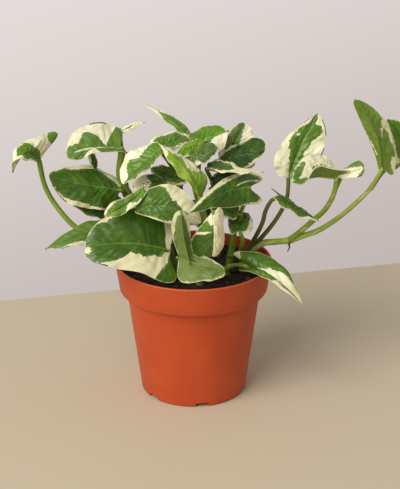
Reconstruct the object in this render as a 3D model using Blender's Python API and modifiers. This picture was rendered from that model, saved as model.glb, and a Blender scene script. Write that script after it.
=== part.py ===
"""A potted pothos: a small trailing house plant in a plain terracotta-coloured nursery pot.

The pot stands on the floor with its base's centre at the origin, +Z is up and -Y is the front.
Rooted cuttings stand in plain holes in the soil. Each cutting grew as one piece, so its stem,
leaf stalks and leaves are one solid.
"""

import math
import random

import bmesh
import bpy
from mathutils import Matrix, Vector

MM = 0.001
GAP = 0.3 * MM

# The pot: a 4-inch nursery pot with a flared rim band
POT_HEIGHT = 93 * MM
RIM_RADIUS = 52.5 * MM
BAND_FOOT_RADIUS = 49.8 * MM
BAND_HEIGHT = 19 * MM
NECK_RADIUS = 44.6 * MM
BASE_RADIUS = 35.6 * MM
CORNER_RADIUS = 1.8 * MM
WALL = 1.5 * MM
FLOOR_THICKNESS = 1.8 * MM
POT_SIDES = 42
DRAIN_COUNT = 6
DRAIN_TURN = math.radians(9.6)
DRAIN_WIDTH = 18 * MM
DRAIN_HEIGHT = 3 * MM
DRAIN_DEPTH = 0.7 * MM
OUTLET_WIDTH = 10 * MM

# The soil
SOIL_TOP = 85.5 * MM
SOIL_SIDES = 22
SOIL_RINGS = 3
SOIL_BUMP = 1.2 * MM
HOLE_DEPTH = 13 * MM

# The cuttings
STEM_RADIUS = 2.6 * MM
STEM_TAPER = 0.75
STALK_RADIUS = 1.6 * MM
STALK_TAPER = 0.75
STALK_SINK = 0.8 * MM
ROOT_RADIUS = 0.7 * MM
BLADE_THICKNESS = 0.8 * MM
BLADE_ROWS = 9
BLADE_COLUMNS = 4
STATIONS = (0.15, 0.44, 0.75)

# Colours, in linear light
TERRACOTTA = (0.46, 0.11, 0.045)
SOIL_BROWN = (0.022, 0.014, 0.009)
LEAF_GREEN = (0.09, 0.22, 0.03)

# The plant is laid out as it looks from the front, from an eye 22 degrees above it. Each place is
# (across, rise, toward) in millimetres: across and rise are read in the picture that the eye has of
# the pot, from the middle of the pot's base, and toward is how far the place stands in front of
# the pot's axis.
EYE = Vector((0.0043, -1.0163, 0.514))
LOOK_DOWN = math.radians(22)
PICTURE_DISTANCE = 1096.7
PICTURE_MIDDLE = (4.3, 92.7)
AHEAD = Vector((0, math.cos(LOOK_DOWN), -math.sin(LOOK_DOWN)))
UPWARD = Vector((0, math.sin(LOOK_DOWN), math.cos(LOOK_DOWN)))


def leaf(base, mid, tip, left, right, lobe=5, full=0.4, wave=0.9, bulge=1.0, inner=(None, None),
         outer=(None, None), start=1.0, stalk=(), thin=1.0):
    """One leaf: its midrib runs base, mid, tip, and its margins pass left and right at its widest.

    inner and outer are two more such pairs, for the heart-shaped base and for the outer half, and
    are None where the margin simply follows. lobe is how far the base reaches back past the stalk,
    wave the swing of the margin and bulge the swell of each half, all in millimetres. full says
    how round the outer end is, from 0 for a long drip tip to over 1 for a blunt one. The stalk
    leaves the stem at the fraction start of its length and passes through the places in stalk, and
    thin scales its radius.
    """
    return {"base": base, "mid": mid, "tip": tip, "left": (inner[0], left, outer[0]),
            "right": (inner[1], right, outer[1]), "full": full, "wave": wave, "bulge": bulge,
            "lobe": lobe if isinstance(lobe, tuple) else (lobe, lobe), "start": start,
            "stalk": stalk, "thin": thin}


# Each cutting: the place of its foot in the soil as (x, y) in millimetres, its stem above the soil
# and its leaves
CUTTINGS = {
    "cutting_left": {
        "foot": (-34, -4),
        "stem": [(-38, 84, 4), (-43, 93, 5)],
        "leaves": {
            "left_far": leaf((-102.5, 148.5, 4), (-112.5, 153, 16), (-120.5, 140.5, 24),
                            (-110.5, 148, 22), (-103, 163.5, 2),
                            lobe=(0, 8), full=0.7, inner=((-105.5, 148, 9), (-91, 167, -5)),
                            outer=((-120.5, 148.5, 25), (-119.5, 155.5, 15)),
                            stalk=[(-55.5, 92, 6), (-77, 103, 9), (-90.5, 117, 5), (-99, 131.5, 3)],
                            thin=1.25),
            "left_low": leaf((-54.5, 103.5, 18), (-75.5, 98.5, 28), (-99, 89.5, 36),
                            (-71.5, 93.5, 32), (-67.5, 108.5, 16),
                            start=0.9, stalk=[(-48, 98, 10)]),
            "left_shade": leaf((-46.5, 111.5, 0), (-62.5, 113.5, 4), (-80.5, 118.5, 8),
                              (-57.5, 108.5, 8), (-57, 120.5, -6),
                              start=0.8, stalk=[(-42, 102, 0)]),
        },
    },
    "cutting_upper_left": {
        "foot": (-22, 10),
        "stem": [(-27, 96, -8), (-36, 113, -4), (-44, 126, -2)],
        "leaves": {
            "upper_left": leaf((-47.5, 155.5, 6), (-67.5, 157.5, 13), (-84, 151.5, 20),
                              (-60.5, 154.5, 16), (-61.5, 173.5, -4),
                              lobe=(7, 8), full=1.1, inner=((-43.5, 153.5, 8), (-49.5, 168.5, -6)),
                              outer=((-77, 149, 22), (-79.5, 167.5, 4)), stalk=[(-49, 139, 0)],
                              thin=1.8),
            "left_sheath": leaf((-65.5, 143.5, 4), (-67.5, 149, 8), (-69.5, 155, 12),
                               (-69.5, 148.5, 9), (-65, 151, 7),
                               lobe=1, full=0.8, start=0.75, wave=0.3, bulge=0.5,
                               stalk=[(-57, 129, -4), (-63.5, 137, -2)], thin=0.8),
            "left_spike": leaf((-49.5, 167.5, -8), (-41.5, 171.5, -7), (-32.5, 174, -6),
                              (-43.5, 172.5, -9), (-42, 169, -6),
                              lobe=1, start=0.95, wave=0.3, bulge=0.4, stalk=[(-46.5, 145, -6)]),
            "left_big": leaf((-48, 129, 6), (-71.5, 132.5, 14), (-96.5, 138.5, 20),
                            (-66.5, 117.5, 17), (-65, 145, -2),
                            lobe=(9, 5), full=0.9, inner=((-55.5, 116.5, 12), (-50.5, 135.5, -2)),
                            outer=((-85, 121, 22), (-84.5, 144.5, 8))),
        },
    },
    "cutting_front": {
        "foot": (-12, -12),
        "stem": [(-18, 95, 13), (-28, 112, 18), (-36, 122, 24)],
        "leaves": {
            "front_big": leaf((-15.5, 88.5, 30), (-43.5, 93.5, 38), (-72, 90.5, 42),
                             (-36.5, 74.5, 47), (-33.5, 117, 22),
                             lobe=(9, 3), full=1.25, start=0.15, inner=((-13.5, 67.5, 42), None),
                             stalk=[(-15, 84, 22)]),
            "front_small": leaf((-33.5, 128.5, 30), (-46.5, 118.5, 36), (-59.5, 112, 40),
                               (-41.5, 116.5, 38), (-43.5, 124.5, 32),
                               lobe=2, full=0.9, outer=((-51, 111.5, 40), (-55, 120.5, 37))),
            "centre": leaf((-37.5, 117.5, 32), (-17, 117.5, 35), (5, 108.5, 32),
                          (-18.5, 132.5, 24), (-23, 108, 37),
                          lobe=(5, 3), full=0.9, start=0.97,
                          inner=((-33, 127.5, 29), (-37, 113.5, 33)),
                          outer=((-4.5, 126.5, 26), (-3.5, 105.5, 34))),
            "centre_shade": leaf((-13, 127.5, 21), (-23.5, 134.5, 18), (-41.5, 130.5, 18),
                                (-25, 127.5, 23), (-25, 139.5, 14),
                                lobe=5, full=0.9, start=0.9, stalk=[(-25, 124.5, 19)],
                                outer=((-35, 127, 20), (-36.5, 137, 15))),
        },
    },
    "cutting_low_front": {
        "foot": (4, -26),
        "stem": [(5, 80, 29), (7, 92, 32), (9.5, 104, 36)],
        "leaves": {
            "front_upright": leaf((-3, 80.5, 48), (-6.5, 97, 52), (-8.5, 115, 48),
                                 (-2, 95.5, 45), (-13.5, 96.5, 46),
                                 lobe=(1, 2), full=1.15, start=0.1,
                                 inner=((-0.5, 87, 46), (-9.5, 85.5, 46)),
                                 outer=((-3, 108.5, 45), (-14.5, 107.5, 46)), stalk=[(1, 78, 39)],
                                 thin=0.7),
            "front_lip": leaf((-10.5, 84, 43), (6.5, 78.5, 50), (20.5, 75.5, 50),
                             (3.5, 68.5, 50), (5, 86.5, 48),
                             lobe=(4, 1), full=1.2, start=0.05,
                             inner=((-9.5, 68.5, 47), (-4.5, 85.5, 42)),
                             outer=((15.5, 69.5, 51), (14.5, 81, 49)),
                             stalk=[(1.5, 77, 37), (-5.5, 81, 39)], thin=0.75),
            "front_folded": leaf((12.5, 114, 46), (13.5, 99, 52), (12.5, 85, 50),
                                (20, 101.5, 45), (-1.5, 97, 42),
                                lobe=(7, 1), full=1.1, bulge=1.6,
                                inner=((18.5, 116.5, 43), (6, 105.5, 44)),
                                outer=((19.5, 90.5, 46), (-2, 87.5, 44))),
        },
    },
    "cutting_back_left": {
        "foot": (-8, 22),
        "stem": [(-8, 104, -16), (-9, 122, -8), (-10, 138, -2)],
        "leaves": {
            "back_left": leaf((-21, 156.5, 20), (-33, 145.5, 26), (-47, 133, 32),
                             (-27.5, 145.5, 27), (-41, 155.5, 15),
                             full=0.8, inner=(None, (-25.5, 160.5, 12)),
                             outer=((-37.5, 137.5, 30), None), stalk=[(-14, 148, 8)]),
            "back_edge": leaf((-25, 158.5, 3), (-13, 161.5, -3), (-0.5, 162.5, -9),
                             (-16.5, 167.5, -10), (-17, 155, 4),
                             stalk=[(-18, 150, 0)]),
            "top_spike": leaf((-0.5, 162.5, -14), (-13.5, 176, -18), (-35.5, 187, -22),
                             (-11, 168, -14), (-7.5, 172.5, -20),
                             lobe=1, full=0, start=0.95, stalk=[(-5, 150, -10)]),
            "inner_left": leaf((-6.5, 137, 5), (-17, 139.5, 5), (-29, 143.5, 6),
                              (-18.5, 133.5, 9), (-15.5, 144.5, -1),
                              start=0.9),
            "rear_left": leaf((-14.5, 129, -20), (-24, 131.5, -32), (-32, 127.5, -44),
                             (-15, 126, -34), (-26.5, 136, -24),
                             full=0.6, start=0.75),
            "rear_mid": leaf((-4.5, 142.5, -20), (-11.5, 141.5, -34), (-20.5, 137.5, -48),
                            (-13.5, 134.5, -38), (-9.5, 146.5, -30),
                            full=0.6, start=0.9, stalk=[(-6.5, 138.5, -10)]),
        },
    },
    "cutting_back": {
        "foot": (4, 6),
        "stem": [(6, 95, 2), (7, 108, 11), (6, 117.5, 16)],
        "leaves": {
            "young": leaf((4.5, 124, 20), (-4.5, 143.5, 25), (-23.5, 160, 24),
                         (-7.5, 136.5, 28), (2.5, 143.5, 18),
                         lobe=(1, 3), full=0.3, wave=1.2, bulge=1.4,
                         inner=((0.5, 129.5, 22), (9, 134, 17)),
                         outer=((-16.5, 148, 27), (-11, 153, 20))),
            "top_bright": leaf((-0.5, 160.5, -2), (11.5, 164, -4), (23.5, 168.5, -6),
                              (7.5, 171, -14), (11.5, 155.5, 2),
                              lobe=(3, 1), start=0.7, outer=(None, (20.5, 157, -3)),
                              stalk=[(1.5, 130, 6), (-1.5, 148, -1)]),
            "inner_green": leaf((6.5, 159.5, 4), (-2.5, 157, 8), (-11.5, 153.5, 12),
                               (-2.5, 151, 12), (-1, 161.5, 2),
                               lobe=3, start=0.6, stalk=[(4.5, 128, 6), (3.5, 145, 6)]),
            "inner_low": leaf((13, 107.5, 0), (6.5, 113, 4), (-3.5, 116.5, 6),
                             (3.5, 103.5, 6), (10.5, 121, -4),
                             lobe=3, full=0.7, start=0.1, stalk=[(13.5, 98.5, 2)]),
            "back_grey": leaf((-2, 148.5, 14), (6.5, 153.5, 11), (16, 157, 6),
                             (4.5, 158.5, 4), (7.5, 147.5, 16),
                             full=0.7, start=0.65, outer=(None, (13.5, 152.5, 10)),
                             stalk=[(0.5, 130, 10)]),
        },
    },
    "cutting_back_right": {
        "foot": (16, 22),
        "stem": [(16, 104, -18), (16, 120, -12), (17, 134, -8)],
        "leaves": {
            "back_round": leaf((23, 154.5, -14), (28.5, 163, -18), (33.5, 173.5, -28),
                              (22.5, 165, -16), (39.5, 163, -20),
                              lobe=3, full=1.0, outer=(None, (38.5, 169, -24)),
                              stalk=[(20, 146, -14)]),
            "back_dark": leaf((16.5, 149, -4), (30.5, 151.5, -6), (47.5, 157.5, -10),
                             (31.5, 159.5, -16), (28.5, 141.5, 2),
                             lobe=3, full=1.0, outer=((42.5, 164, -16), (41.5, 148, -6)),
                             stalk=[(17, 142, -7)]),
            "back_flat": leaf((8.5, 143.5, 8), (25, 141.5, 11), (47, 141, 10),
                             (21.5, 148.5, 2), (24.5, 140.5, 15),
                             lobe=2, start=0.9, inner=((11.5, 148, 4), None),
                             outer=((33, 143.5, 6), None), stalk=[(12, 136, -4)]),
            "back_inner": leaf((11.5, 134, -2), (19, 137, 0), (28.5, 139.5, -5),
                              (20, 142.5, -7), (21, 131.5, 3),
                              full=0.9, start=0.95, outer=((26, 143, -8), (27, 133.5, -1))),
            "rear_right": leaf((19, 131.5, -24), (25.5, 129, -38), (29.5, 122.5, -52),
                              (35, 130, -32), (14, 129, -36),
                              full=0.6, start=0.8),
            "rear_low": leaf((3, 122.5, -26), (1.5, 119.5, -44), (4.5, 111.5, -58),
                            (13, 119, -40), (-9.5, 121, -36),
                            full=0.6, start=0.5, stalk=[(8, 118, -20)]),
            "rear_high": leaf((28.5, 150.5, -24), (35, 150.5, -36), (40.5, 145.5, -50),
                             (37, 156.5, -32), (31, 143, -38),
                             full=0.6, start=1.0, stalk=[(23, 142.5, -16)]),
        },
    },
    "cutting_right": {
        "foot": (24, 2),
        "stem": [(25.5, 90, -2), (27, 102.5, 0)],
        "leaves": {
            "right_big": leaf((37.5, 130.5, 10), (19, 127, 24), (-3, 113.5, 42),
                             (29, 117.5, 20), (28.5, 140, 2),
                             lobe=(8, 10), full=0.8, outer=((11, 117, 34), (10.5, 128.5, 24)),
                             stalk=[(31, 113, 2), (35.5, 124.5, 5)]),
            "right_round": leaf((31, 101.5, 14), (31, 108.5, 0), (30.5, 114.5, -14),
                               (23, 107.5, 2), (39.5, 107, 4),
                               full=0.9, start=0.3, stalk=[(31, 88, 6), (32.5, 96, 13)]),
            "right_under": leaf((29.5, 113.5, 6), (21, 117, 9), (9, 120, 12),
                               (18.5, 111, 12), (23, 124, 0),
                               lobe=2, start=0.9, stalk=[(31.5, 111.5, 3)]),
        },
    },
    "cutting_right_low": {
        "foot": (22, -8),
        "stem": [(24, 78, 10)],
        "leaves": {
            "right_low": leaf((37.5, 77.5, 22), (53, 71, 36), (72.5, 52.5, 44),
                             (50, 84.5, 20), (43.5, 72.5, 37),
                             lobe=(14, 10), full=0.5, inner=((27, 87.5, 16), None),
                             outer=((65, 71.5, 35), None), stalk=[(30, 79, 16)]),
        },
    },
    "cutting_vine": {
        "foot": (33, 10),
        "stem": [(37, 88, -9), (46, 93.5, -9), (54, 94.5, -9), (64, 95.5, -9),
                 (73, 98.5, -9), (84, 102.5, -10), (96.5, 110.5, -11), (108.5, 120.5, -11),
                 (118, 130, -11)],
        "leaves": {
            "vine_cream": leaf((63.5, 137, -6), (71, 157.5, -12), (83, 180.5, -16),
                              (54, 149.5, -6), (84.5, 151.5, -10),
                              lobe=(1, 2), full=0.7, start=0.12, inner=((55.5, 140.5, -4), None),
                              outer=((62.5, 164.5, -12), (88.5, 166.5, -14)),
                              stalk=[(51, 104, -9), (59, 116, -7), (62.5, 125, -6)]),
            "vine_narrow": leaf((57, 124.5, 6), (68.5, 116.5, 10), (85, 107.5, 12),
                               (65.5, 120.5, -1), (61, 116.5, 13),
                               lobe=(9, 2), start=0.06,
                               stalk=[(45, 105, -3), (48, 115, 1), (52, 122, 4)]),
            "vine_flat": leaf((95.5, 137.5, 4), (81, 138, 8), (65.5, 134.5, 12),
                             (81, 144.5, 14), (85.5, 152.5, -6),
                             lobe=(9, 2), full=0.8, start=0.42,
                             inner=((104.5, 141.5, 11), (94.5, 145, -4)),
                             outer=((73.5, 132, 18), (71, 149, 2)),
                             stalk=[(72, 102, -7), (80, 109, -4), (88, 116.5, 0), (93.5, 126.5, 2)],
                             thin=1.25),
            "vine_curl": leaf((99, 139.5, 3), (106.5, 141.5, 7), (113.5, 143.5, 9),
                             (105.5, 146, 2), (105.5, 137.5, 11),
                             lobe=(1, 2), full=1.2, start=0.42, wave=0.3, bulge=1.2,
                             inner=((101.5, 143, 1), None),
                             outer=((110, 148.5, 4), (111.5, 138, 13)),
                             stalk=[(72, 102, -7), (80, 109, -4), (88, 116.5, 0), (93.5, 126.5, 2)],
                             thin=0.8),
            "vine_tall": leaf((125, 142.5, -10), (121, 167.5, -5), (107.5, 189.5, -3),
                             (133, 157.5, -13), (118, 159, -12),
                             lobe=(4, 1), full=1.3, inner=((133.5, 140.5, -13), (123, 145, -12)),
                             outer=((127, 176.5, -8), (111.5, 174.5, -8)), thin=0.88),
            "vine_end": leaf((140, 148, -28), (137.5, 163.5, -27), (129, 176.5, -27),
                            (129.5, 162.5, -23), (145.5, 165, -31),
                            stalk=[(127, 142, -17), (133.5, 143.5, -24)]),
        },
        "taper": 0.55,
        "roots": [[(62.5, 95, -9), (64, 91, -8), (62.5, 88, -8)]],
    },
}


def seen(place):
    """Turns (across, rise, toward) in millimetres into a point in metres."""
    across, rise, toward = place
    ray = AHEAD.copy()
    ray += Vector((1, 0, 0)) * (across - PICTURE_MIDDLE[0]) / PICTURE_DISTANCE
    ray += UPWARD * (rise - PICTURE_MIDDLE[1]) / PICTURE_DISTANCE
    return EYE + ray * ((-toward * MM - EYE.y) / ray.y)


def clear_scene():
    """Removes whatever the scene holds."""
    for item in list(bpy.data.objects):
        bpy.data.objects.remove(item)


def new_collection(name):
    """A collection in the scene."""
    group = bpy.data.collections.new(name)
    bpy.context.scene.collection.children.link(group)
    return group


def new_material(name, colour, roughness):
    """A plain Principled material."""
    material = bpy.data.materials.new(name)
    material.use_nodes = True
    shader = material.node_tree.nodes["Principled BSDF"]
    shader.inputs["Base Color"].default_value = (*colour, 1)
    shader.inputs["Roughness"].default_value = roughness
    return material


def add_object(name, mesh, group):
    """An object for a mesh, in a collection."""
    item = bpy.data.objects.new(name, mesh)
    group.objects.link(item)
    return item


def modifier_result(item, name):
    """The mesh of an object as its modifiers, or its curve's bevel, leave it."""
    bpy.context.view_layer.update()
    evaluated = item.evaluated_get(bpy.context.evaluated_depsgraph_get())
    mesh = bpy.data.meshes.new_from_object(evaluated)
    mesh.name = name
    return mesh


def weld(mesh, distance):
    """Merges points that lie closer than a distance."""
    shape = bmesh.new()
    shape.from_mesh(mesh)
    bmesh.ops.remove_doubles(shape, verts=shape.verts, dist=distance)
    shape.to_mesh(mesh)
    shape.free()


def shade_round(mesh, angle):
    """Smooth shading that keeps edges sharper than an angle in degrees."""
    mesh.shade_smooth()
    mesh.set_sharp_from_angle(angle=math.radians(angle))


def smooth_route(points, steps):
    """Points along a smooth curve through the given points."""
    padded = [points[0] * 2 - points[1], *points, points[-1] * 2 - points[-2]]
    route = []
    for before, start, end, after in zip(padded, padded[1:], padded[2:], padded[3:]):
        for step in range(steps):
            t = step / steps
            route.append(0.5 * (2 * start + (end - before) * t
                                + (2 * before - 5 * start + 4 * end - after) * t ** 2
                                + (3 * start - before - 3 * end + after) * t ** 3))
    route.append(points[-1])
    return route


def tube(name, points, radii, group):
    """A round stem along the points, closed at both ends, as a mesh."""
    curve = bpy.data.curves.new(name, "CURVE")
    curve.dimensions = "3D"
    curve.bevel_depth = 1
    curve.bevel_resolution = 1
    curve.use_fill_caps = True
    line = curve.splines.new("POLY")
    line.points.add(len(points) - 1)
    for knot, point, radius in zip(line.points, points, radii):
        knot.co = (*point, 1)
        knot.radius = radius
    drawn = add_object(name + "_curve", curve, group)
    mesh = modifier_result(drawn, name)
    bpy.data.objects.remove(drawn)
    weld(mesh, 0.01 * MM)
    return add_object(name, mesh, group)


def midrib(places, t):
    """The midrib's point and direction at the fraction t, straight on before its base."""
    base, mid, tip = places
    control = mid * 2 - (base + tip) / 2
    inside = max(t, 0)
    point = base * (1 - inside) ** 2 + control * 2 * inside * (1 - inside) + tip * inside ** 2
    slope = (control - base) * (1 - inside) + (tip - control) * inside
    length = (mid - base).length + (tip - mid).length
    return point + slope.normalized() * length * (t - inside), slope.normalized()


def margin(s, reach, full):
    """The outline of one half at s, from base (0) to tip (1), as (fraction along, fraction out)."""
    along = s ** 1.15 - reach * 14.93 * s * (1 - s) ** 5
    power = (1 - full) * (0.62 + 0.6 * s) + full * 0.58
    out = math.sin(math.pi * s ** 0.85) ** power if 0 < s < 1 else 0
    return along, out


def side_vector(sides, s):
    """How far one margin stands off the midrib at s, blended between the places it passes."""
    if s <= STATIONS[1]:
        low, high, first = sides[0], sides[1], STATIONS[0]
        t = (s - first) / (STATIONS[1] - first)
    else:
        low, high, last = sides[1], sides[2], STATIONS[2]
        t = (s - STATIONS[1]) / (last - STATIONS[1])
    return low.lerp(high, min(max(t, 0), 1))


def blade_point(shape, s, v):
    """The middle surface of a leaf at s from base to tip and v from left (-1) to right (1)."""
    half = 1 if v > 0 else 0
    along, out = margin(s, shape["reach"][half], shape["full"])
    rib = s * (0.7 + 0.3 * s)
    x = rib + (along - rib) * abs(v) ** 1.3
    point, slope = midrib(shape["midrib"], x)
    left, right = (side_vector(sides, s) for sides in shape["sides"])
    normal = (right - left).cross(slope).normalized()
    swing = math.sin(2 * math.pi * (3.2 * s + shape["phase"] + 0.35 * half))
    swell = shape["bulge"] * 4 * abs(v) * (1 - abs(v)) * out
    ripple = shape["wave"] * abs(v) ** 2.2 * swing * out
    return point + (left, right)[half] * out * abs(v) + normal * (swell + ripple)


def blade_sides(spec, places, reach, half):
    """The three vectors from midrib to margin that one half of a leaf is drawn with."""
    sides = []
    for s, place in zip(STATIONS, spec[("left", "right")[half]]):
        along, out = margin(s, reach, spec["full"])
        sides.append(None if place is None else (seen(place) - midrib(places, along)[0]) / out)
    return [side or sides[1] for side in sides]


def blade_shape(spec, seed):
    """What blade_point needs, worked out from a leaf's places."""
    places = [seen(spec[key]) for key in ("base", "mid", "tip")]
    length = (places[1] - places[0]).length + (places[2] - places[1]).length
    reach = [lobe * MM / length + 0.127 for lobe in spec["lobe"]]
    return {"midrib": places, "reach": reach, "full": spec["full"], "bulge": spec["bulge"] * MM,
            "sides": [blade_sides(spec, places, reach[half], half) for half in (0, 1)],
            "wave": spec["wave"] * MM, "phase": random.Random(seed).random()}


def blade(name, shape, group):
    """A leaf's blade: a grid shaped by blade_point, split into triangles and given its thickness."""
    grid = bmesh.new()
    bmesh.ops.create_grid(grid, x_segments=BLADE_ROWS, y_segments=BLADE_COLUMNS, size=1)
    for vertex in grid.verts:
        vertex.co = blade_point(shape, (vertex.co.x + 1) / 2, vertex.co.y)
    bmesh.ops.remove_doubles(grid, verts=grid.verts, dist=0.05 * MM)
    bmesh.ops.triangulate(grid, faces=grid.faces)
    mesh = bpy.data.meshes.new(name)
    grid.to_mesh(mesh)
    grid.free()
    sheet = add_object(name + "_sheet", mesh, group)
    thickness = sheet.modifiers.new("thickness", "SOLIDIFY")
    thickness.thickness = BLADE_THICKNESS
    thickness.offset = 0
    solid = modifier_result(sheet, name)
    bpy.data.objects.remove(sheet)
    return add_object(name, solid, group)


def stem_route(spec):
    """The stem: straight up out of its hole in the soil, then through its places."""
    x, y = (value * MM for value in spec["foot"])
    upright = [Vector((x, y, SOIL_TOP + lift * MM)) for lift in (-12.5, -6, 0, 3.5)]
    return upright[:-1] + smooth_route([upright[-1]] + [seen(place) for place in spec["stem"]], 2)


def stalk_route(spec, shape, stem):
    """A leaf stalk: from its place on the stem to the underside of its blade, a little way in."""
    start = stem[3 + round((len(stem) - 4) * spec["start"])]
    base, slope = midrib(shape["midrib"], 0)
    left, right = (sides[0] for sides in shape["sides"])
    normal = (right - left).cross(slope).normalized()
    ends = [base - normal * STALK_SINK, base + slope * 2.5 * MM - normal * STALK_SINK]
    return smooth_route([start] + [seen(place) for place in spec["stalk"]] + ends, 2)


def union(name, parts, group):
    """One closed solid from several that overlap."""
    joined = new_collection(name + "_joined")
    for item in parts[1:]:
        group.objects.unlink(item)
        joined.objects.link(item)
    join = parts[0].modifiers.new("union", "BOOLEAN")
    join.operation = "UNION"
    join.operand_type = "COLLECTION"
    join.collection = joined
    mesh = modifier_result(parts[0], name)
    for item in parts:
        bpy.data.objects.remove(item)
    bpy.data.collections.remove(joined)
    weld(mesh, 0.005 * MM)
    return add_object(name, mesh, group)


def make_cutting(name, spec, group, material):
    """A rooted cutting: its stem, leaf stalks and leaves, joined."""
    stem = stem_route(spec)
    steps = len(stem) - 1
    narrowing = 1 - spec.get("taper", STEM_TAPER)
    radii = [STEM_RADIUS * (1 - narrowing * step / steps) for step in range(steps + 1)]
    parts = [tube(name + "_stem", stem, radii, group)]
    for leaf_name, leaf_spec in spec["leaves"].items():
        shape = blade_shape(leaf_spec, leaf_name)
        route = stalk_route(leaf_spec, shape, stem)
        thick = STALK_RADIUS * leaf_spec["thin"]
        ends = len(route) - 1
        radii = [thick * (1 - (1 - STALK_TAPER) * step / ends) for step in range(ends + 1)]
        radii[-1] *= 0.6
        parts.append(tube(leaf_name + "_stalk", route, radii, group))
        parts.append(blade(leaf_name, shape, group))
    for index, places in enumerate(spec.get("roots", ())):
        route = smooth_route([seen(place) for place in places], 2)
        parts.append(tube(f"{name}_root_{index}", route, [ROOT_RADIUS] * len(route), group))
    cutting = union(name, parts, group)
    cutting.data.materials.clear()
    cutting.data.materials.append(material)
    shade_round(cutting.data, 50)
    return cutting


def pot_profile():
    """The pot's section as (radius, height), from the middle of its floor up, over and down."""
    band_foot = POT_HEIGHT - BAND_HEIGHT
    inner_base = BASE_RADIUS - WALL
    outside = [(RIM_RADIUS, POT_HEIGHT - 1.2 * MM), (BAND_FOOT_RADIUS, band_foot + 2 * MM)]
    above_drains = (BASE_RADIUS + (NECK_RADIUS - BASE_RADIUS) * 0.08, band_foot * 0.08)
    tuck = [(BAND_FOOT_RADIUS - 0.8 * MM, band_foot - 0.2 * MM),
            (BAND_FOOT_RADIUS - 2.6 * MM, band_foot - 1.7 * MM), (NECK_RADIUS, band_foot - 2.6 * MM)]
    corner = [(BASE_RADIUS - CORNER_RADIUS * (1 - math.cos(turn)),
               CORNER_RADIUS * (1 - math.sin(turn)))
              for turn in (math.radians(step * 30) for step in range(4))]
    lip = [(RIM_RADIUS - WALL, POT_HEIGHT - 0.4 * MM), (RIM_RADIUS - 1.1 * MM, POT_HEIGHT),
           (RIM_RADIUS - 0.4 * MM, POT_HEIGHT)]
    inside = [(0, FLOOR_THICKNESS), (inner_base - 0.5 * MM, FLOOR_THICKNESS),
              (NECK_RADIUS - WALL, band_foot - 1.5 * MM),
              (BAND_FOOT_RADIUS - WALL - 0.5 * MM, band_foot + 2 * MM)]
    return inside + lip + outside + tuck + [above_drains] + corner + [(0, 0)]


def turned(name, profile, sides, group):
    """A solid of revolution about Z, from a profile that runs down its outer side."""
    mesh = bpy.data.meshes.new(name)
    points = [(radius, 0, height) for radius, height in profile]
    mesh.from_pydata(points, [(step, step + 1) for step in range(len(points) - 1)], [])
    item = add_object(name, mesh, group)
    screw = item.modifiers.new("turn", "SCREW")
    screw.steps = sides
    screw.render_steps = sides
    screw.use_merge_vertices = True
    screw.merge_threshold = 0.01 * MM
    return item


def box_cutter(name, size, middle, turn, group):
    """A box to cut with, turned about Z round the pot's axis."""
    shape = bmesh.new()
    bmesh.ops.create_cube(shape, size=1)
    bmesh.ops.scale(shape, vec=size, verts=shape.verts)
    bmesh.ops.translate(shape, vec=middle, verts=shape.verts)
    bmesh.ops.rotate(shape, cent=(0, 0, 0), matrix=Matrix.Rotation(turn, 3, "Z"), verts=shape.verts)
    mesh = bpy.data.meshes.new(name)
    shape.to_mesh(mesh)
    shape.free()
    return hide_cutter(add_object(name, mesh, group))


def hide_cutter(item):
    """Marks an object as a cutter that isn't part of the plant."""
    item.hide_render = True
    item.display_type = "WIRE"
    return item


def cut(item, cutters):
    """Takes every object of a collection out of an object."""
    take = item.modifiers.new("cut", "BOOLEAN")
    take.operation = "DIFFERENCE"
    take.operand_type = "COLLECTION"
    take.collection = cutters


def make_pot(group, material):
    """The pot, with a drainage recess and an outlet at each sixth of its base's edge."""
    pot = turned("pot", pot_profile(), POT_SIDES, group)
    cutters = new_collection("drain_cutters")
    for step in range(DRAIN_COUNT):
        turn = DRAIN_TURN + step * math.tau / DRAIN_COUNT
        front = BASE_RADIUS * math.cos(math.pi / POT_SIDES)
        recess = (DRAIN_WIDTH, DRAIN_DEPTH * 4, DRAIN_HEIGHT * 2)
        box_cutter(f"recess_{step}", recess, (0, -front - DRAIN_DEPTH, 0), turn, cutters)
        outlet = (OUTLET_WIDTH, 9 * MM, DRAIN_HEIGHT * 2 - 0.6 * MM)
        box_cutter(f"outlet_{step}", outlet, (0, -front + 0.5 * MM, 0), turn, cutters)
    cut(pot, cutters)
    pot.data.materials.append(material)
    shade_round(pot.data, 40)
    return pot


def soil_height(x, y):
    """The lumpy top of the soil: a few waves laid over each other."""
    fine = math.sin(x * 420 + 1.3) * math.sin(y * 390 + 0.4)
    coarse = math.sin(x * 170 + 0.9 * math.sin(y * 210))
    return SOIL_TOP + SOIL_BUMP * (0.5 * fine + 0.5 * coarse)


def inner_radius(height):
    """The pot's inner radius at a height on the straight part of its wall below the band."""
    low = (BASE_RADIUS - WALL - 0.5 * MM, FLOOR_THICKNESS)
    high = (NECK_RADIUS - WALL, POT_HEIGHT - BAND_HEIGHT - 1.5 * MM)
    return low[0] + (high[0] - low[0]) * (height - low[1]) / (high[1] - low[1])


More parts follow.
